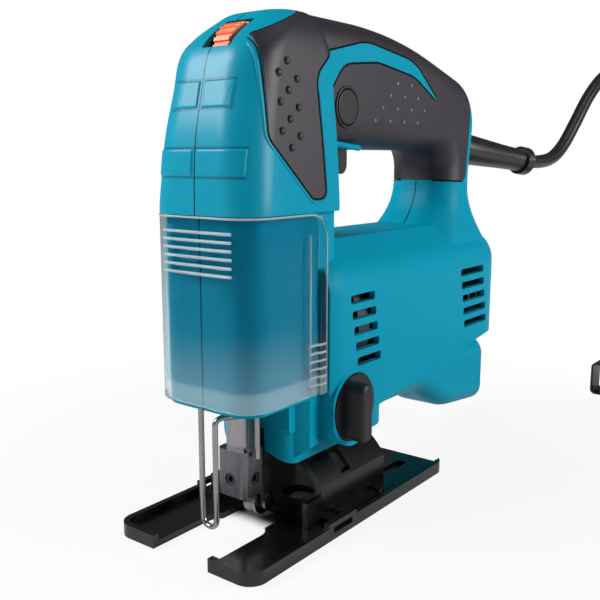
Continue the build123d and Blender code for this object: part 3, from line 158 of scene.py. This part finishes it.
def new_piece(name, points, faces, smooth=True):
    """Object at the origin from an array of points and lists of corners."""
    mesh = bpy.data.meshes.new(name)
    mesh.from_pydata(points.reshape(-1, 3), [], faces)
    mesh.polygons.foreach_set("use_smooth", np.full(len(mesh.polygons), smooth))
    piece = bpy.data.objects.new(name, mesh)
    bpy.context.scene.collection.objects.link(piece)
    return piece


def wear(piece, finish):
    """Gives a piece the finish in every slot."""
    piece.data.materials.clear()
    piece.data.materials.append(finish.material)


room_light, room_seen, room_mirrored = 0.13, 1.0, 0.10
world = bpy.data.worlds.new("pale room")
bpy.context.scene.world = world
world.use_nodes = True
room = Finish(world.node_tree)
direct = room.node("ShaderNodeLightPath", out="Diffuse Depth") < 0.5
mirrored = room.node("ShaderNodeLightPath", out="Is Glossy Ray")
room.feed(world.node_tree.nodes["Background"], {
    "Color": grey(1.0),
    "Strength": room_light + direct * (room_seen - room_light - (room_seen - room_mirrored) * mirrored),
})

paper_half = 4.0
paper_drop = 0.0005
saw_middle = (-0.06, 0.0, 0.0)
shadow_core, shadow_rim, core_glow = 0.10, 0.30, 0.88
mirror_loss = 0.72
# Footprint of the sole, where the paper is painted near black as shade, and the level of that painted shade.
under_rear, under_half = -0.095, 0.028
under_front, under_end = -0.012, -0.002
paper_level, sole_shade_level = 0.62, 0.06
square = paper_half * np.array([(-1, -1), (1, -1), (1, 1), (-1, 1)])
paper = new_piece("paper", np.c_[square, np.full(len(square), -paper_drop)], [(0, 1, 2, 3)], smooth=False)
white_paper = new_finish("white paper", Roughness=0.9)
glow = white_paper.node("ShaderNodeEmission", {}, {"Color": grey(1.0), "Strength": 1.0})
direct = white_paper.node("ShaderNodeLightPath", out="Diffuse Depth") < 0.5
mirrored = white_paper.node("ShaderNodeLightPath", out="Is Glossy Ray")
away = white_paper.node("ShaderNodeVectorMath", {"operation": "DISTANCE"}, {
    0: white_paper.place, 1: saw_middle,
}, out="Value")
along, across = white_paper.coordinate(0), white_paper.coordinate(1)
# Painted shade under the sole: this mask takes off the glow and darkens the paper's colour there.
under = white_paper.slope(along, under_front, under_end, 1.0, 0.0)
under = under * (along > under_rear) * (abs(across) < under_half)
lit = white_paper.slope(away, shadow_core, shadow_rim, core_glow, 1.0) * (1.0 - under)
white_paper.feed(white_paper.shader, {
    "Base Color": white_paper.blend(under, grey(paper_level), grey(sole_shade_level)),
})
white_paper.feed(white_paper.tree.nodes["Material Output"], {
    "Surface": white_paper.node("ShaderNodeMixShader", {}, {
        0: lit * (direct * (1.0 - mirror_loss * mirrored)),
        1: Wire(white_paper, white_paper.shader.outputs[0]),
        2: glow,
    }),
})
wear(paper, white_paper)

for name, place, aim, power, size in (
    ("key box", (0.46, -0.40, 0.58), (0.0, 0.0, 0.12), 8.0, 0.40),
    ("fill box", (-0.42, 0.80, 0.40), (-0.08, 0.0, 0.10), 7.6, 0.45),
    ("top box", (-0.25, 0.20, 0.90), (-0.06, 0.0, 0.12), 0.5, 0.40),
):
    lamp = bpy.data.objects.new(name, bpy.data.lights.new(name, "AREA"))
    lamp.location = place
    lamp.rotation_euler = (Vector(aim) - Vector(place)).to_track_quat("-Z", "Y").to_euler()
    lamp.data.energy = power
    lamp.data.size = size
    bpy.context.scene.collection.objects.link(lamp)


# Mains lead: round black vinyl, about two metres. It rises from the guard, comes over and down behind
# the saw, and the spare length is wound into a neat coil with the plug beside it.
# The guard, the tie and the plug are moulded in the same vinyl.
cord_diameter = 0.0075
coil_middle = np.array([-0.275, 0.105])
coil_radius = 0.051
coil_pitch = 0.0084
coil_height = 0.0054
coil_turns = 6
points_per_turn = 16
reversal_ease = 0.02
plug_run = np.array([0.048, 0.0, 0.0])


def coil_point(turns):
    """Flat spiral in and out on two layers: the radius falls by a pitch for each turn of depth, the angle
    falls by one turn each, and the height climbs by a smooth step in the half turn of the reversal."""
    from_middle = turns - coil_turns / 2
    depth = coil_turns / 2 - np.sqrt(from_middle ** 2 + reversal_ease)
    radius = coil_radius - coil_pitch * depth
    climb = np.clip(from_middle * 2 + 0.5, 0, 1)
    height = coil_height + coil_pitch * (3 * climb ** 2 - 2 * climb ** 3)
    angle = np.pi / 2 - 2 * np.pi * turns
    return np.stack([coil_middle[0] + radius * np.cos(angle), coil_middle[1] + radius * np.sin(angle),
                     height], -1)


route = np.array([
    (-0.2215, 0.018, 0.1414), (-0.241, 0.022, 0.1402), (-0.259, 0.0243, 0.147),
    (-0.277, 0.0256, 0.163), (-0.296, 0.027, 0.182), (-0.318, 0.030, 0.197),
    (-0.341, 0.038, 0.204), (-0.360, 0.054, 0.202), (-0.371, 0.078, 0.189),
    (-0.372, 0.104, 0.163), (-0.367, 0.127, 0.127), (-0.361, 0.144, 0.087),
    (-0.350, 0.153, 0.047), (-0.330, 0.156, 0.017), (-0.301, 0.156, coil_height),
])
coil = coil_point(np.arange(coil_turns * points_per_turn + 1) / points_per_turn)
# The spline runs inside its points, so all but the end ones stand out by half of what a facet loses.
stand_out = 1 + (1 / np.cos(np.pi / points_per_turn) - 1) / 2
coil[1:-1, :2] = coil_middle + (coil[1:-1, :2] - coil_middle) * stand_out
line = np.concatenate([route, coil, coil[-1] + np.array([plug_run / 2, plug_run])])
cord_curve = bpy.data.curves.new("mains_cord", "CURVE")
cord_curve.dimensions = "3D"
strand = cord_curve.splines.new("NURBS")
strand.points.add(len(line) - 1)
strand.points.foreach_set("co", np.c_[line, np.ones(len(line))].ravel())
strand.order_u = 3
strand.use_endpoint_u = True
strand.resolution_u = 6
cord_curve.bevel_depth = cord_diameter / 2
cord_curve.bevel_resolution = 5
cord_curve.use_fill_caps = True
mains_cord = bpy.data.objects.new("mains_cord", cord_curve)
bpy.context.scene.collection.objects.link(mains_cord)


def paint(code):
    """Linear colour of a six-figure screen code: ((s + 0.055) / 1.055) ** 2.4, or s / 12.92 when dark."""
    screen = np.array([int(code[k:k + 2], 16) for k in (0, 2, 4)]) / 255
    linear = np.where(screen > 0.04045, ((screen + 0.055) / 1.055) ** 2.4, screen / 12.92)
    return (*linear.tolist(), 1.0)


def mottled(name, grain, colours, rough=None, **sockets):
    """Finish that goes between two colours, and between two roughnesses if given, with one noise, which is
    kept as its grain. The grain is the noise's scale and detail."""
    finish = new_finish(name, **sockets)
    finish.grain = finish.noise(*grain)
    dark, light = (paint(code) for code in colours)
    finish.feed(finish.shader, {"Base Color": finish.blend(finish.grain, dark, light)})
    if rough:
        smooth, dull = rough
        finish.feed(finish.shader, {"Roughness": smooth + (dull - smooth) * finish.grain})
    return finish


vinyl = mottled("black vinyl", (700.0, 3.0), ("100F12", "1B1A1E"), rough=(0.20, 0.34))
vinyl.feed(vinyl.shader, {"Normal": vinyl.bump(vinyl.grain, strength=0.03, depth=0.0003)})
wear(mains_cord, vinyl)
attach(mains_cord, "housing")
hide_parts("cord", "cord_coil")
for name in ("cord_guard", "cord_tie", "plug"):
    wear(nodes[name], vinyl)


# Housing: two halves of glass-filled nylon, moulded in teal with a fine spark-eroded grain and a
# smoother crown. Screws hold the halves together, and they meet in a thin seam down the middle.
# Shallow grooves edge the raised bands across the nose; they are bumped in and painted darker teal as shade.
nose_bands = {"upper": (0.0145, (0.160, 0.170)), "lower": (0.0205, (0.137, 0.147))}
seam_half, seam_foot = 0.00028, 0.05
line_half, nose_start = 0.00045, 0.004
crown_start, crown_end, crown_foot = 0.002, 0.014, 0.124
teal = new_finish("teal nylon", Specular_IOR_Level=0.06, Coat_Roughness=0.3)
spark = teal.noise(1500.0, 2.0)
cloud = teal.noise(18.0, 3.0)
axis_x, axis_y, axis_z = (teal.coordinate(k) for k in range(3))
seam = (abs(axis_y) < seam_half) * (axis_z > seam_foot)
band_grooves_shade = sum(
    (abs(axis_z - height) < line_half) * (abs(axis_y) < reach) * (axis_x > nose_start)
    for reach, heights in nose_bands.values() for height in heights
)
polished = teal.slope(axis_x, crown_start, crown_end, 0.0, 1.0) * (axis_z > crown_foot)
plain_teal = teal.blend(cloud, paint("0085A0"), paint("008FAA"))
# Painted shade: the grooves along the nose bands are coloured darker teal.
groove_shaded_teal = teal.blend(0.6 * band_grooves_shade, plain_teal, paint("00506A"))
teal.feed(teal.shader, {
    "Base Color": teal.blend(seam, groove_shaded_teal, paint("00121B")),
    "Coat Weight": 0.38 * polished,
    "Roughness": 0.33 + 0.14 * spark + 0.05 * cloud,
    "Normal": teal.bump(0.25 * spark - band_grooves_shade - seam, strength=0.16, depth=0.0004),
})
for name in ("housing_left", "housing_right"):
    wear(nodes[name], teal)


# Bands on the nose: two raised panels on each half of the housing, moulded in one with it.
# They stand about half a millimetre proud, ease down at the border, and stop short of the seam.
sides = {"left": 1, "right": -1}
seam_gap = 0.0006
band_rise, band_border, band_wall = 0.00045, 0.0009, 0.0006
band_columns, band_rows = 49, 25
before_nose = 0.05


def cast_onto(node, points, axis, sign):
    """Points moved along one axis until each meets the node's skin; the Shrinkwrap is read, then removed."""
    cloud_mesh = bpy.data.meshes.new("cast")
    cloud_mesh.from_pydata(points.reshape(-1, 3), [], [])
    carrier = bpy.data.objects.new("cast", cloud_mesh)
    bpy.context.scene.collection.objects.link(carrier)
    wrap = carrier.modifiers.new("cast", "SHRINKWRAP")
    wrap.target = nodes[node]
    wrap.wrap_method = "PROJECT"
    setattr(wrap, f"use_project_{axis}", True)
    wrap.use_positive_direction, wrap.use_negative_direction = sign > 0, sign < 0
    laid = np.empty(points.size)
    wrapped = carrier.evaluated_get(bpy.context.evaluated_depsgraph_get())
    wrapped.data.vertices.foreach_get("co", laid)
    bpy.data.objects.remove(carrier)
    bpy.data.meshes.remove(cloud_mesh)
    return laid.reshape(points.shape)


def unit(vectors):
    """The same directions, one long."""
    return vectors / np.linalg.norm(vectors, axis=-1, keepdims=True)


def nose_band(name, node, across, up):
    """Raised panel: a grid cast back on the nose, lifted along its normal by rise * (1.5 * s - 0.5),
    where s climbs smoothly from 0 at the edge to 1 at the border's width inside it."""
    y, z = np.meshgrid(np.linspace(*across, band_columns), np.linspace(*up, band_rows), indexing="ij")
    skin = cast_onto(node, np.stack([0 * y + before_nose, y, z], -1), "x", -1)
    normal = unit(np.cross(np.gradient(skin, axis=0), np.gradient(skin, axis=1)))
    inside = np.minimum(np.minimum(y - across[0], across[1] - y), np.minimum(z - up[0], up[1] - z))
    s = np.clip(inside / band_border, 0, 1)
    points = skin + normal * (band_rise * (1.5 * (3 * s ** 2 - 2 * s ** 3) - 0.5))[..., None]
    i, j = np.meshgrid(np.arange(band_columns - 1), np.arange(band_rows - 1), indexing="ij")
    here, beside = i * band_rows + j, (i + 1) * band_rows + j
    cells = np.stack([here, beside, beside + 1, here + 1], -1).reshape(-1, 4)
    piece = new_piece(name, points, cells.tolist())
    thick = piece.modifiers.new("thickness", "SOLIDIFY")
    thick.thickness, thick.offset = band_wall, -1.0
    return piece


for half, side in sides.items():
    for place, (reach, up) in nose_bands.items():
        across = sorted((side * seam_gap, side * reach))
        band = nose_band(f"nose_band_{place}_{half}", f"housing_{half}", across, up)
        wear(band, teal)
        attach(band, "housing")


# Edge of the rubber: where rubber and nylon meet in the mould, a dark parting line follows the rubber's
# outline over the head, the grip and the post, and the head's panel has a rolled nylon lip.
# Each outline is in the side view, in corners and the radii that round them.
head_edge = (
    [(0.0086, 0.1835), (0.010, 0.150), (-0.013, 0.129), (-0.021, 0.129), (-0.0185, 0.173),
     (-0.030, 0.183), (-0.058, 0.1895), (-0.096, 0.185), (-0.121, 0.1671)],
    [0.006, 0.004, 0.003, 0.009, 0.014, 0.040, 0.030],
)
grip_edge = (
    [(-0.121, 0.1664), (-0.096, 0.178), (-0.066, 0.1815), (-0.042, 0.179), (-0.033, 0.168),
     (-0.036, 0.150), (-0.0565, 0.1486)],
    [0.030, 0.030, 0.012, 0.006, 0.003],
)
post_edge = [(-0.1235, 0.1375), (-0.128, 0.133), (-0.1465, 0.1321)], [0.003]
panel_edge = (
    [(0.0087, 0.1815), (0.010, 0.150), (-0.013, 0.129), (-0.021, 0.129), (-0.0187, 0.170)],
    [0.006, 0.004, 0.003],
)
lip_out, lip_radius, lip_sunk = 0.0013, 0.0008, 0.00045
parting_out, parting_radius, parting_sunk = 0.0003, 0.00035, 0.00015
edge_step = 0.0008
taper_points = 6
beside_saw, skin_limit, flush = 0.06, 0.032, 0.0003
arc_points = 9
tube_sides = 10
askew = (0.37, 0.61, 0.70)


def tube(name, path, radius, closed=False):
    """Round bar: each ring is path + radius * (cos(t) * a + sin(t) * b), with a and b square to the path.
    The first of them is also square to a fixed direction askew of every path."""
    path = np.array(path)
    along = np.roll(path, -1, 0) - np.roll(path, 1, 0) if closed else np.gradient(path, axis=0)
    first = np.cross(along, askew)
    second = unit(np.cross(along, first))[:, None]
    first = unit(first)[:, None]
    turn = np.linspace(0, 2 * np.pi, tube_sides, endpoint=False)[None, :, None]
    rings = path[:, None] + radius * (np.cos(turn) * first + np.sin(turn) * second)
    step, spoke = np.meshgrid(np.arange(len(path) - (not closed)), np.arange(tube_sides), indexing="ij")
    here, ahead = step * tube_sides, (step + 1) % len(path) * tube_sides
    beside = (spoke + 1) % tube_sides
    walls = np.stack([here + spoke, here + beside, ahead + beside, ahead + spoke], -1).reshape(-1, 4)
    rim = np.arange(tube_sides)
    ends = [] if closed else [rim[::-1].tolist(), (rim + tube_sides * (len(path) - 1)).tolist()]
    return new_piece(name, rings, walls.tolist() + ends)


def eased(corners, radii):
    """Side-view line through corners, each rounded by the rational parabola that is an arc of its radius."""
    corners, radii = np.array(corners), np.array(radii)
    run = unit(np.diff(corners, axis=0))
    before, after, middle = run[:-1], run[1:], corners[1:-1]
    half_turn = np.arccos(np.clip((before * after).sum(1), -1, 1)) / 2
    reach = (radii * np.tan(half_turn))[:, None]
    s = np.linspace(0, 1, arc_points)[None, :, None]
    weight = 2 * s * (1 - s) * np.cos(half_turn)[:, None, None]
    bends = ((1 - s) ** 2 * (middle - reach * before)[:, None] + weight * middle[:, None]
             + s ** 2 * (middle + reach * after)[:, None]) / ((1 - s) ** 2 + weight + s ** 2)
    return np.concatenate([corners[:1], bends.reshape(-1, 2), corners[-1:]])


def spaced(path, step):
    """The same line, with points one step apart along it."""
    travel = np.concatenate([[0], np.cumsum(np.linalg.norm(np.diff(path, axis=0), axis=1))])
    at = np.linspace(0, travel[-1], int(travel[-1] / step) + 2)
    return np.stack([np.interp(at, travel, path[:, k]) for k in range(path.shape[1])], -1)


def laid_runs(outline, out, half):
    """Stretches of an outline, moved outwards in the side view and cast on one half's skin. A point that
    misses the skin, or falls into a screw's seat that the left half lacks, ends a stretch."""
    flat = spaced(eased(*outline), edge_step)
    ahead = unit(np.gradient(flat, axis=0))
    flat = flat + out * np.stack([-ahead[:, 1], ahead[:, 0]], -1)
    start = np.stack([flat[:, 0], 0 * flat[:, 0] + beside_saw, flat[:, 1]], -1)
    unbroken = cast_onto("housing_left", start, "y", -1)[:, 1]
    side = sides[half]
    laid = cast_onto(f"housing_{half}", start * (1, side, 1), "y", -side)
    on_skin = np.flatnonzero((unbroken < skin_limit) & (abs(side * laid[:, 1] - unbroken) < flush))
    return [laid[run] for run in np.split(on_skin, np.flatnonzero(np.diff(on_skin) > 1) + 1)]


parting = mottled("parting line", (900.0, 2.0), ("020406", "0A0C10"), Roughness=0.6, Specular_IOR_Level=0.1)
for half, side in sides.items():
    for place, outline in (("head_lip", panel_edge), ("head_parting", head_edge),
                           ("grip_parting", grip_edge), ("post_parting", post_edge)):
        rolled = place == "head_lip"
        radius, sunk = (lip_radius, lip_sunk) if rolled else (parting_radius, parting_sunk)
        for count, run in enumerate(laid_runs(outline, lip_out if rolled else parting_out, half)):
            from_end = np.minimum(np.arange(len(run)), np.arange(len(run))[::-1])
            run[:, 1] -= side * (radius + (sunk - radius) * np.clip(from_end / taper_points, 0, 1))
            edging = tube(f"{place}_{half}_{count}", run, radius)
            wear(edging, teal if rolled else parting)
            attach(edging, "housing")


# Ledges over the trigger: a round bead along each half's lower edge under the grip, moulded with it,
# that keeps the forefinger off the joint of rubber and nylon.
ledge_front, ledge_rear = np.array([(-0.0335, 0.0150, 0.1497), (-0.0570, 0.0150, 0.1475)])
ledge_radius, ledge_points = 0.0012, 25
for half, side in sides.items():
    path = np.linspace(ledge_front, ledge_rear, ledge_points) * (1, side, 1)
    ledge = tube(f"trigger_ledge_{half}", path, ledge_radius)
    wear(ledge, teal)
    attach(ledge, "housing")


# Rail walls: a thin upright web of the housing behind each rail of the dust cover, moulded with the half.
# It closes the way into the works, and its plan steps out round the rail.
wall_plan = np.array([
    (-0.0178, 0.0224), (-0.0209, 0.0224), (-0.02125, 0.0227), (-0.02125, 0.0244),
    (-0.02175, 0.0244), (-0.02175, 0.0226), (-0.0212, 0.0219), (-0.0178, 0.0219),
])
wall_foot, wall_top = 0.0370, 0.0980
low = np.arange(len(wall_plan))
high = low + len(wall_plan)
walls = np.stack([low, high, np.roll(high, -1), np.roll(low, -1)], -1)
wall_faces = [*walls.tolist(), low.tolist(), high[::-1].tolist()]
for half, side in sides.items():
    points = np.stack([np.c_[wall_plan, np.full(len(wall_plan), z)] for z in (wall_foot, wall_top)])
    outward = [face[::-side] for face in wall_faces]
    wall = new_piece(f"rail_wall_{half}", points * (1, side, 1), outward, smooth=False)
    wear(wall, teal)
    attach(wall, "housing")


# Grips: soft black rubber moulded over the head, the top of the handle and its sides,
# with rows of small raised dots where the hands hold. The dots on the grip are coloured a paler grey.
head_pitch, head_rows = 0.0098, ((0.0030, 0.1723, 3), (-0.0018, 0.1765, 4), (-0.0069, 0.1708, 3))
grip_pitch, grip_rows = 0.0115, ((-0.0642, 0.1587, 4), (-0.0700, 0.1640, 4), (-0.0757, 0.1692, 3),
                                 (-0.0814, 0.1744, 2))
head_dots = [(x, z - head_pitch * row) for x, z, count in head_rows for row in range(count)]
grip_dots = [(x - grip_pitch * column, z) for x, z, count in grip_rows for column in range(count)]
dot_sizes = {"head": (0.0015, 0.0010), "grip": (0.0008, 0.0006)}
dot_spokes, dot_tilts = 12, np.radians([100, 72, 42, 14])
dot_lean = (0.0, 0.3, 1.0)
least_facing = 0.3
rubber = new_finish("soft rubber", Specular_IOR_Level=0.42)
pores = rubber.noise(2200.0, 2.0)
haze = rubber.noise(30.0, 4.0)
rubber.feed(rubber.shader, {
    "Base Color": rubber.blend(haze, paint("1A161D"), paint("27222B")),
    "Roughness": 0.36 + 0.12 * pores + 0.08 * haze,
    "Normal": rubber.bump(pores, strength=0.2, depth=0.0003),
})
# The grip's dots are coloured a paler grey than the rubber.
pale_dot_finish = mottled("pale dot rubber", (260.0, 3.0), ("5A565E", "8A868E"), Roughness=0.5)


def domes(name, centres, normals, radius, height):
    """Caps of a squashed ball: each ring, at tilt t, lies radius * sin(t) out and height * cos(t) up the
    normal, and flat faces close the first ring and the last. The spokes start square to a lean."""
    centres, normals = np.array(centres), np.array(normals)
    out_a = unit(np.cross(normals, dot_lean))
    out_b = np.cross(normals, out_a)
    tilt, turn = np.meshgrid(dot_tilts, np.linspace(0, 2 * np.pi, dot_spokes, endpoint=False), indexing="ij")
    cap = np.stack([radius * np.sin(tilt) * np.cos(turn), radius * np.sin(tilt) * np.sin(turn),
                    height * np.cos(tilt)], -1).reshape(-1, 3)
    points = centres[:, None] + cap @ np.stack([out_a, out_b, normals], 1)
    rim = np.arange(dot_spokes)
    ring, spoke = np.meshgrid(np.arange(len(dot_tilts) - 1) * dot_spokes, rim, indexing="ij")
    here, there = ring + spoke, ring + (spoke + 1) % dot_spokes
    walls = np.stack([here, there, there + dot_spokes, here + dot_spokes], -1).reshape(-1, 4)
    flats = np.stack([rim + len(cap) - dot_spokes, rim[::-1]])
    first = np.arange(len(centres))[:, None, None] * len(cap)
    faces = (walls + first).reshape(-1, 4).tolist() + (flats + first).reshape(-1, dot_spokes).tolist()
    return new_piece(name, points, faces)


for half, side in sides.items():
    grip = nodes[f"grip_{half}"]
    wear(grip, rubber)
    surface = BVHTree.FromObject(grip, bpy.context.evaluated_depsgraph_get())
    inwards = Vector((0, -side, 0))
    for place, spots in (("head", head_dots), ("grip", grip_dots)):
        rays = [surface.ray_cast(Vector((x, side * beside_saw, z)), inwards) for x, z in spots]
        hits = [ray[:2] for ray in rays if ray[0] is not None and ray[1].y * side > least_facing]
        dots = domes(f"grip_{half}_{place}_dots", *zip(*hits), *dot_sizes[place])
        wear(dots, rubber if place == "head" else pale_dot_finish)
        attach(dots, "housing")


# Dust cover: a clear moulded polycarbonate shield that slides on two rails, frosted along its lower edge.
# It has a bead round its rim, ribs across the front for the thumb, and a line and short finger ribs
# by each rail, all moulded with it.
clear_tint, frost_tint, milk_tint = (0.60, 0.82, 0.87, 1.0), (0.97, 0.99, 1.0, 1.0), (0.66, 0.76, 0.79, 1.0)
frost_level, haze_level = 0.064, 0.092
frost_fade, frost_waver, haze_waver = 0.002, 0.002, 0.012
clear = new_finish("clear polycarbonate", IOR=1.10, Transmission_Weight=1.0)
cover_level = clear.coordinate(2)
smear = clear.noise(24.0, 5.0)
low_edge = clear.slope(cover_level + frost_waver * smear, frost_level - frost_fade, frost_level, 1.0, 0.0)
low_haze = clear.slope(cover_level + haze_waver * smear, frost_level, haze_level, 1.0, 0.0)
clear.feed(clear.shader, {
    "Base Color": clear.blend(low_edge, clear_tint, frost_tint),
    "Roughness": 0.02 + 0.05 * smear + 0.22 * low_edge,
})
clear.feed(clear.tree.nodes["Material Output"], {
    "Surface": clear.node("ShaderNodeMixShader", {}, {
        0: 0.09 * low_edge + 0.07 * low_haze,
        1: Wire(clear, clear.shader.outputs[0]),
        2: clear.node("ShaderNodeBsdfDiffuse", {}, {"Color": milk_tint}),
    }),
})
wear(nodes["dust_cover"], clear)
cover_front, cover_half, cover_corner = 0.0225, 0.0250, 0.012
cover_foot, cover_top = 0.0565, 0.1233
rail_x, rail_y, rim_radius = -0.0202, 0.0259, 0.008
bead_radius, rib_radius = 0.0004, 0.00055
rib_start, rib_heights = 1.28, np.linspace(0.1036, 0.1182, 6)
line_x, line_top = -0.0112, 0.1160
finger_heights = np.linspace(0.0590, 0.0745, 6)
finger_plan = np.array([(-0.0104, 0.0247), (-0.0110, 0.0251), (-0.0156, 0.0252), (-0.0163, 0.0261),
                        (-0.0196, 0.0261), (rail_x, 0.0258)])


def nose_path(start, height):
    """Level line round the cover's front: flat nose, and each round corner from its start angle on."""
    bend = np.linspace(start, np.pi / 2, arc_points)
    left = np.stack([cover_front + cover_corner * (np.sin(bend) - 1),
                     cover_half + cover_corner * (np.cos(bend) - 1), 0 * bend + height], -1)
    return np.concatenate([left, left[::-1] * (1, -1, 1)])


lift = np.linspace(0, np.pi / 2, arc_points)
rim = np.stack([rail_x + rim_radius * (1 - np.cos(lift)), rail_y + (cover_half - rail_y) * np.sin(lift),
                cover_top + rim_radius * (np.sin(lift) - 1)], -1)
rim = np.concatenate([[(rail_x, rail_y, cover_foot)], rim])
cover_lines = {
    "cover_bead": (np.concatenate([rim, nose_path(0.0, cover_top), rim[::-1] * (1, -1, 1)]), bead_radius),
}
for count, height in enumerate(rib_heights):
    cover_lines[f"cover_rib_{count}"] = (nose_path(rib_start, height), rib_radius)
for half, side in sides.items():
    upright = np.array([(line_x, side * cover_half, z) for z in (cover_foot, line_top)])
    cover_lines[f"cover_line_{half}"] = (upright, bead_radius)
    for count, height in enumerate(finger_heights):
        rib = np.c_[finger_plan * (1, side), np.full(len(finger_plan), height)]
        cover_lines[f"cover_grip_{half}_{count}"] = (rib, rib_radius)
frosted = mottled("clear polycarbonate edge", (260.0, 3.0), ("DCEAEE", "F6FAFB"), rough=(0.10, 0.24),
                  IOR=1.3, Transmission_Weight=0.70)
for name, (path, radius) in cover_lines.items():
    piece = tube(name, path, radius)
    wear(piece, frosted)
    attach(piece, "cover")


# Finger guard, plunger bar and pins: bright drawn steel wire and bar, with fine lines along the drawing.
# The guard's ends are held in the housing, and the bar slides in its bushes.
bright = new_finish("bright steel", Metallic=1.0)
drawn_out = (1.0, 1.0, 0.06)
drawn = bright.node("ShaderNodeMapping", {}, {"Vector": bright.place, "Scale": drawn_out})
lines = bright.noise(1400.0, 3.0, drawn)
bright.feed(bright.shader, {
    "Base Color": bright.blend(lines, paint("828083"), paint("A8A6A9")),
    "Roughness": 0.18 + 0.16 * lines,
})
for name in ("finger_guard", "plunger_rod", "arm_pin", "roller_pin", "roller", "gear_axle"):
    wear(nodes[name], bright)


# Blade clamp: a machined block of steel on the end of the plunger bar, darker than the bar.
# Two socket screws in it close on the blade's shank.
machined = mottled("machined steel", (600.0, 3.0), ("636166", "807E82"), rough=(0.26, 0.42), Metallic=1.0)
wear(nodes["blade_clamp"], machined)


# Arm, shafts, gear, bearings and screws: hardened steel with a dull ground finish, pressed, riveted or
# screwed in place. The arm, the rivets and the screws show, and the rest is inside.
ground = mottled("ground steel", (420.0, 4.0), ("3C3C40", "5B5B60"), rough=(0.28, 0.48), Metallic=1.0)
for name in ("plunger_yoke", "armature_shaft", "drive_gear", "rear_bearing", "front_bearing",
             "roller_arm", "housing_screws", "bracket_rivets", "bevel_bolt", "bevel_washer", "bevel_nut",
             "clamp_screws"):
    wear(nodes[name], ground)


# Motor irons: stacks of oxidised sheet, pressed on the shaft and into the housing.
# They are dark where they show through the vents.
iron = mottled("oxidised sheet", (500.0, 3.0), ("141416", "222225"), rough=(0.5, 0.7), Metallic=1.0)
for name in ("armature_core", "stator"):
    wear(nodes[name], iron)


# Gear casting, bushes and contacts: a die-cast alloy frame held between the halves carries the works.
# The bushes pressed into it, the brush holders, the commutator and the plug's pins are brass.
alloy = mottled("die-cast alloy", (260.0, 4.0), ("3E4044", "54565A"), rough=(0.5, 0.7), Metallic=1.0)
wear(nodes["gear_casting"], alloy)
brass = mottled("brass", (150.0, 4.0), ("6B5126", "8E7140"), rough=(0.25, 0.45), Metallic=1.0)
for name in ("plunger_bushes", "plug_pins", "brush_holders", "commutator"):
    wear(nodes[name], brass)


# Small black mouldings: trigger, lock button, lever, switch, fan and dust port in plain nylon, with the
# etched grain of their moulds. They snap or slide into the halves; the brushes are carbon of like black.
hard_black = mottled("black nylon", (1300.0, 2.0), ("121114", "1E1D21"), rough=(0.36, 0.52),
                     Specular_IOR_Level=0.35)
hard_black.feed(hard_black.shader, {
    "Normal": hard_black.bump(hard_black.grain, strength=0.15, depth=0.0003),
})
for name in ("trigger", "lock_button", "orbit_lever", "switch", "speed_controller", "cord_clamp",
             "dust_port", "fan", "brushes"):
    wear(nodes[name], hard_black)


# Ring round the lock button: a raised lip in the rubber that keeps the thumb centred on it.
# It is moulded with the grip and stays put when the button goes in.
button_middle = np.array([-0.044, 0.0181, 0.163])
ring_radius, ring_bead, ring_points = 0.0076, 0.0006, 40
around = np.linspace(0, 2 * np.pi, ring_points, endpoint=False)
ring_path = button_middle + ring_radius * np.stack([np.cos(around), 0 * around, np.sin(around)], -1)
lock_ring = tube("lock_ring", ring_path, ring_bead, closed=True)
wear(lock_ring, hard_black)
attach(lock_ring, "housing")


# Speed dial: a knurled thumb wheel moulded in orange plastic.
# It turns on its own stub axle between the halves and stands out of its slot on the crown.
orange = mottled("orange plastic", (500.0, 2.0), ("E5663C", "F27A4F"), rough=(0.34, 0.46))
wear(nodes["speed_dial"], orange)


# Sole and tilt bracket: pressed steel sheet, riveted together and coated in glossy black, lightly scuffed.
# The bevel bolt clamps the bracket under the housing's foot.
gloss_black = mottled("black coated steel", (90.0, 6.0), ("040405", "0E0E10"), rough=(0.16, 0.36),
                      Specular_IOR_Level=0.35, Coat_Weight=0.22, Coat_Roughness=0.10)
for name in ("sole_plate", "tilt_bracket"):
    wear(nodes[name], gloss_black)
